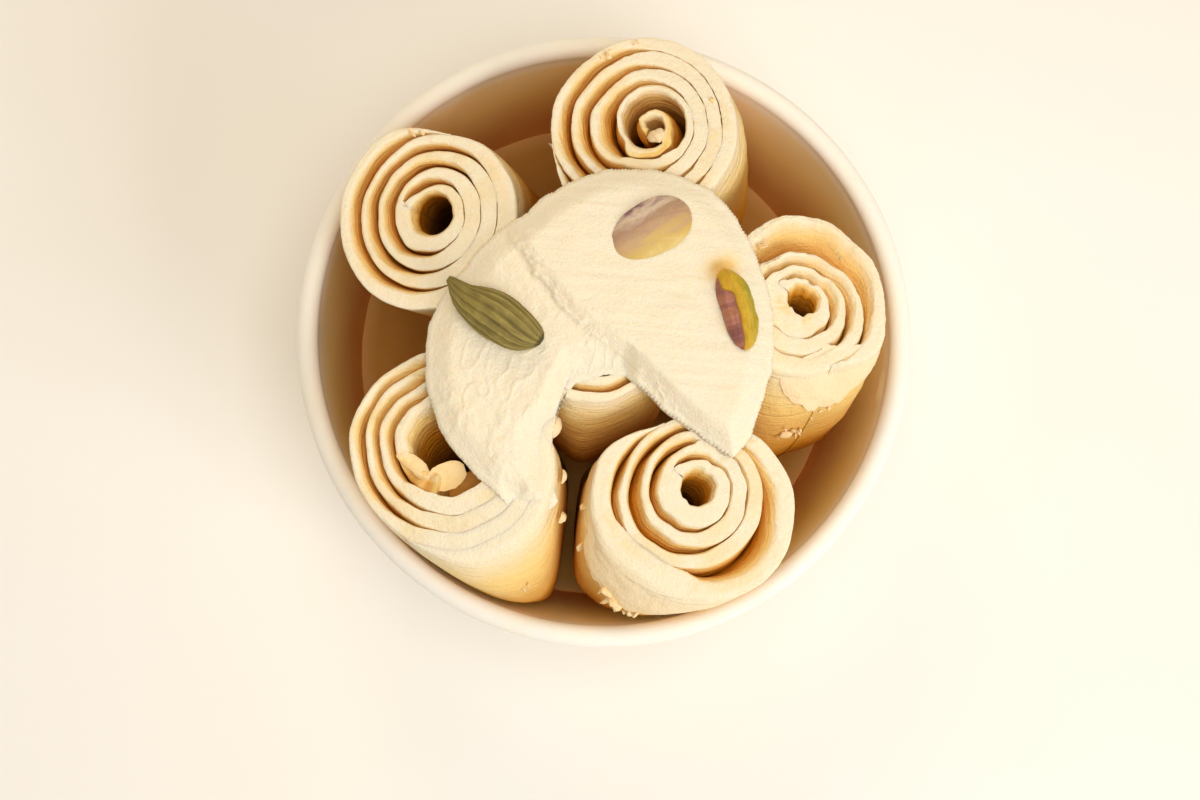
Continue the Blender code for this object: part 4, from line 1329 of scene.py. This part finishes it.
class OBJECT_OT_cardamom(bpy.types.Operator):
    """Build the cardamom pod"""

    bl_idname = "ice_cream.cardamom"
    bl_label = "Cardamom pod"

    def execute(self, context):
        settings = context.scene.ice_cream_toppings
        listed = np.array(POD_OUTLINE)
        t = 0.5 - 0.5 * np.cos(np.linspace(0.0, math.pi, 150))
        left, right = np.interp(t, listed[:, 0], listed[:, 1]), np.interp(t, listed[:, 0], listed[:, 2])
        kernel = np.hanning(11)[1:-1] / np.hanning(11).sum()
        left = np.convolve(np.pad(left, 4, "edge"), kernel, "valid")
        right = np.convolve(np.pad(right, 4, "edge"), kernel, "valid")
        crown = 0.5 * (left + right) * 0.98
        belly = 0.5 * (left + right) * 0.70
        turn = np.linspace(0.0, TAU, 132, endpoint=False)
        y, z = dressed_oval(left, right, crown, belly, turn)
        # Lengthwise ribs that run together at both ends, with a keel and fine fibres between
        rib_turn = turn[None, :] + 0.25 * np.sin(3.0 * t)[:, None]
        rib = np.cos(15.0 * rib_turn) + 0.6 * np.cos(34.0 * rib_turn + 1.2)
        place = stack(t[:, None] * 0.018, np.cos(turn)[None, :] * 0.006, np.sin(turn)[None, :] * 0.006)
        crinkle = rough(place, 0.0016, 91, 3)
        swell = 1.0 + (0.030 * rib + 0.035 * crinkle) * np.sin(math.pi * t)[:, None] ** 0.4
        y, z = y * swell, z * swell
        # The pod bows a little, stem up
        bow = 0.0009 * (1.0 - t) ** 2
        points = lay(POD_PLACE, POD_YAW, POD_RISE, (t - 0.5) * POD_AXIS, y, z + bow[:, None])
        # Painted shade in the grooves between the ribs, so the ribs stand out paler as a painted highlight
        groove = np.clip(0.42 - 0.30 * rib - 0.25 * crinkle, 0.0, 1.0) * 0.55
        # Painted shade of a hole at the tip
        tip = ease((t - 0.955) / 0.03)[:, None]
        groove = np.clip(groove + 0.75 * tip, 0.0, 1.0)
        make_piece("pod_of_cardamom", points, close_rings(*points.shape[:2]), pod_material(settings),
                   stack(t[:, None], turn[None, :] / TAU), {"groove": groove},
                   nodes=("cardamom_pod",))
        return {"FINISHED"}


class OBJECT_OT_pistachios(bpy.types.Operator):
    """Build the two pieces of pistachio"""

    bl_idname = "ice_cream.pistachios"
    bl_label = "Pistachios"

    def execute(self, context):
        settings = context.scene.ice_cream_toppings
        turn = np.linspace(0.0, TAU, 96, endpoint=False)
        t = 0.5 - 0.5 * np.cos(np.linspace(0.02, math.pi - 0.02, 90))
        # Half nut: blunt at its right end, narrower at the left
        girth = (1.0 - np.abs(2.0 * t - 1.0) ** 2.5) ** 0.55 * (0.90 + 0.16 * t)
        wide = 0.5 * HALF_WIDTH * girth
        y, z = dressed_oval(wide, wide, 0.5 * HALF_HEIGHT * girth, 0.5 * HALF_HEIGHT * girth, turn)
        place = stack(t[:, None] * 0.016, y, z)
        z = z + 0.00016 * rough(place, 0.0045, 95, 2) * girth[:, None]
        points = lay(HALF_PLACE, HALF_YAW, HALF_RISE, (t - 0.5) * HALF_LENGTH, y, z)
        band = 0.5 - 0.5 * y / (0.5 * HALF_WIDTH)
        skin = nut_material("pistachio_in_its_skin", (
            (0.0, linear("#8A6468")), (0.06, linear("#B4948C")), (0.15, linear("#DCC4A8")),
            (0.33, settings.skin), (0.56, linear("#CAA478")), (0.80, linear("#D8B45C")),
            (1.0, linear("#E2C77C"))),
            HALF_VEINS, 0.00012, Roughness=0.45, IOR=1.47, Subsurface_Weight=0.15,
            Subsurface_Radius=(0.0015, 0.0010, 0.0004), Subsurface_Scale=1.0)
        make_piece("half_pistachio", points, close_rings(*points.shape[:2]), skin,
                   stack(t[:, None], band), {"band": band}, nodes=("pistachio_half",))
        # Sliver: two broken planes, flesh on the right and rough skin low on the left
        girth = (1.0 - np.abs(2.0 * t - 1.0) ** 3.0) ** 0.6
        wide = 0.5 * SLIVER_WIDTH * girth
        y, z = dressed_oval(wide, wide, 0.5 * SLIVER_HEIGHT * girth, 0.5 * SLIVER_HEIGHT * girth, turn)
        place = stack(t[:, None] * 0.015 * 0.35, y, z)
        cleft = rough(place, 0.0013, 97, 3)
        y = y + 0.00022 * cleft * girth[:, None]
        z = z + 0.00055 * cleft * girth[:, None]
        bend = 0.0006 * np.sin(math.pi * t)
        points = lay(SLIVER_PLACE, SLIVER_YAW, SLIVER_RISE, (t - 0.5) * SLIVER_LENGTH, y + bend[:, None], z)
        low = ease((t - 0.22) / 0.12)[:, None]
        rightward = y / (0.5 * SLIVER_WIDTH)
        flesh_side = ease((rightward + 0.16 + 0.10 * cleft + 0.5 * (1.0 - low)) / 0.16)
        band = (1.0 - flesh_side) * 0.10 + flesh_side * (0.55 + 0.36 * np.maximum(rightward, 0.0))
        flesh = nut_material("broken_pistachio_flesh", (
            (0.0, linear("#7E4444")), (0.12, linear("#BE7C60")), (0.28, linear("#96602C")),
            (0.42, linear("#CF9A12")), (0.66, settings.flesh), (0.86, linear("#B3A024")),
            (1.0, linear("#8A8C2C"))),
            SLIVER_VEINS, 0.00034, Roughness=0.4, IOR=1.47, Subsurface_Weight=0.12,
            Subsurface_Radius=(0.0015, 0.0010, 0.0004), Subsurface_Scale=1.0)
        make_piece("sliver_of_pistachio", points, close_rings(*points.shape[:2]), flesh,
                   stack(t[:, None], band), {"band": band}, nodes=("pistachio_sliver",))
        return {"FINISHED"}


# Stage

# The camera's distance from the rim's middle, how far its line is tilted off the vertical, and the
# bearing it is tilted towards
CAMERA_DISTANCE = 0.480
CAMERA_TILT = 6.4
CAMERA_BEARING = 26.0
# The photo's frame, where the rim's middle is in it, and its scale there in pixels to a millimetre
IMAGE_WIDTH = 1200.0
IMAGE_HEIGHT = 800.0
RIM_CENTRE_PIXEL = (605.5, 336.5)
PIXELS_TO_MM = 5.365
FOCAL_PIXELS = PIXELS_TO_MM * 1000.0 * CAMERA_DISTANCE
SENSOR = 36.0
FLOOR_HALF = 1.6
# Soft lights: property of the power, size, place and colour
LIGHTS = (
    ("key", 0.40, (0.44, -0.44, 0.42), "#FCFDFF"),
    ("top", 0.60, (0.04, -0.08, 1.05), "#FFFDF8"),
    ("bounce", 0.25, (-0.14, 0.46, 0.46), "#FFDFA8"),
)


def camera_place():
    """Camera matrix: it looks down a line tilted off the vertical, image upright along +Y."""
    tilt, bearing = math.radians(CAMERA_TILT), math.radians(CAMERA_BEARING)
    back = np.array((-math.sin(bearing) * math.sin(tilt), -math.cos(bearing) * math.sin(tilt),
                     math.cos(tilt)))
    up = np.array((0.0, 1.0, 0.0)) - back[1] * back
    up /= np.linalg.norm(up)
    right = np.cross(up, back)
    aside = (RIM_CENTRE_PIXEL[0] - 0.5 * IMAGE_WIDTH) / FOCAL_PIXELS * CAMERA_DISTANCE
    above = (0.5 * IMAGE_HEIGHT - RIM_CENTRE_PIXEL[1]) / FOCAL_PIXELS * CAMERA_DISTANCE
    place = np.array((0.0, 0.0, TUB_HEIGHT)) - aside * right - above * up + CAMERA_DISTANCE * back
    return axes_matrix(right, up, back, place)


def axes_matrix(right, up, back, place):
    """Matrix with these axes and this place."""
    return Matrix([[right[k], up[k], back[k], place[k]] for k in range(3)] + [[0.0, 0.0, 0.0, 1.0]])


def area_light(name, power, size, place, colour, aim=(0.0, 0.0, 0.04)):
    """A square soft light that faces a point."""
    data = bpy.data.lights.new(name, "AREA")
    data.energy = power
    data.size = size
    data.color = linear(colour)[:3]
    obj = bpy.data.objects.new(name, data)
    back = np.array(place, dtype=float) - np.array(aim)
    back /= np.linalg.norm(back)
    right = np.cross((0.0, 1.0, 0.0), back)
    right /= np.linalg.norm(right)
    up = np.cross(back, right)
    obj.matrix_world = axes_matrix(right, up, back, place)
    bpy.context.collection.objects.link(obj)


class SCENE_OT_stage(bpy.types.Operator):
    """Build the pale floor, the soft lights and the camera"""

    bl_idname = "ice_cream.stage"
    bl_label = "Stage"

    def execute(self, context):
        settings = context.scene.ice_cream_stage
        # Matt painted board, with clouds of 110 mm a touch warmer
        mat, tree, shader = new_material("painted_board", Roughness=0.75, Specular_IOR_Level=0.2)
        cloud = noise(tree, object_place(tree), 9.0, 2.0, 0.5)
        tint = ramp(tree, cloud, ((0.3, settings.floor), (0.7, linear("#F9F3E8"))))
        tree.links.new(tint, shader.inputs["Base Color"])
        mesh = bpy.data.meshes.new("floor")
        corners = [(FLOOR_HALF * x, FLOOR_HALF * y, 0.0) for x, y in ((-1, -1), (1, -1), (1, 1), (-1, 1))]
        mesh.from_pydata(corners, [], [(0, 1, 2, 3)])
        mesh.materials.append(mat)
        floor = bpy.data.objects.new("floor", mesh)
        bpy.context.collection.objects.link(floor)

        camera = bpy.data.cameras.new("camera")
        camera.sensor_width = SENSOR
        camera.sensor_fit = "HORIZONTAL"
        camera.lens = FOCAL_PIXELS * SENSOR / IMAGE_WIDTH
        camera.clip_start = 0.01
        obj = bpy.data.objects.new("camera", camera)
        obj.matrix_world = camera_place()
        bpy.context.collection.objects.link(obj)
        context.scene.camera = obj

        for name, size, place, colour in LIGHTS:
            area_light(name, getattr(settings, name), size, place, colour)
        world = bpy.data.worlds.new("studio")
        context.scene.world = world
        world.use_nodes = True
        sky = world.node_tree.nodes["Background"]
        sky.inputs["Color"].default_value = linear("#FFF8EE")
        sky.inputs["Strength"].default_value = settings.fill
        # Plain sRGB, so that the pale colours come out as they are named here
        context.scene.view_settings.view_transform = "Standard"
        return {"FINISHED"}


class VIEW3D_PT_ice_cream(bpy.types.Panel):
    """Sizes, colours and pieces of the tub of rolled ice cream"""

    bl_label = "Rolled ice cream"
    bl_idname = "VIEW3D_PT_ice_cream"
    bl_space_type = "VIEW_3D"
    bl_region_type = "UI"
    bl_category = "Ice cream"

    def draw(self, context):
        for group, names in PANEL_LAYOUT:
            box = self.layout.box()
            settings = getattr(context.scene, group)
            for name in settings.bl_rna.properties.keys():
                if name not in ("rna_type", "name"):
                    box.prop(settings, name)
            for name in names:
                box.operator(name)


GROUPS = {
    "ice_cream_tub": TubSettings, "ice_cream_cream": CreamSettings,
    "ice_cream_toppings": ToppingSettings, "ice_cream_stage": StageSettings,
}
OPERATORS = (
    OBJECT_OT_paper_tub, OBJECT_OT_ice_cream_rolls, OBJECT_OT_loose_bits, OBJECT_OT_scraped_sheet,
    OBJECT_OT_cardamom, OBJECT_OT_pistachios, SCENE_OT_stage,
)
PANEL_LAYOUT = (
    ("ice_cream_tub", ("ice_cream.paper_tub",)),
    ("ice_cream_cream", ("ice_cream.rolls", "ice_cream.loose_bits", "ice_cream.scraped_sheet")),
    ("ice_cream_toppings", ("ice_cream.cardamom", "ice_cream.pistachios")),
    ("ice_cream_stage", ("ice_cream.stage",)),
)


def register():
    for cls in (*GROUPS.values(), *OPERATORS, VIEW3D_PT_ice_cream):
        bpy.utils.register_class(cls)
    for name, group in GROUPS.items():
        setattr(bpy.types.Scene, name, PointerProperty(type=group))


def unregister():
    for name in GROUPS:
        delattr(bpy.types.Scene, name)
    for cls in reversed((*GROUPS.values(), *OPERATORS, VIEW3D_PT_ice_cream)):
        bpy.utils.unregister_class(cls)


def main():
    register()
    for _, names in PANEL_LAYOUT:
        for name in names:
            getattr(bpy.ops.ice_cream, name.split(".")[1])()


if __name__ == "__main__":
    main()
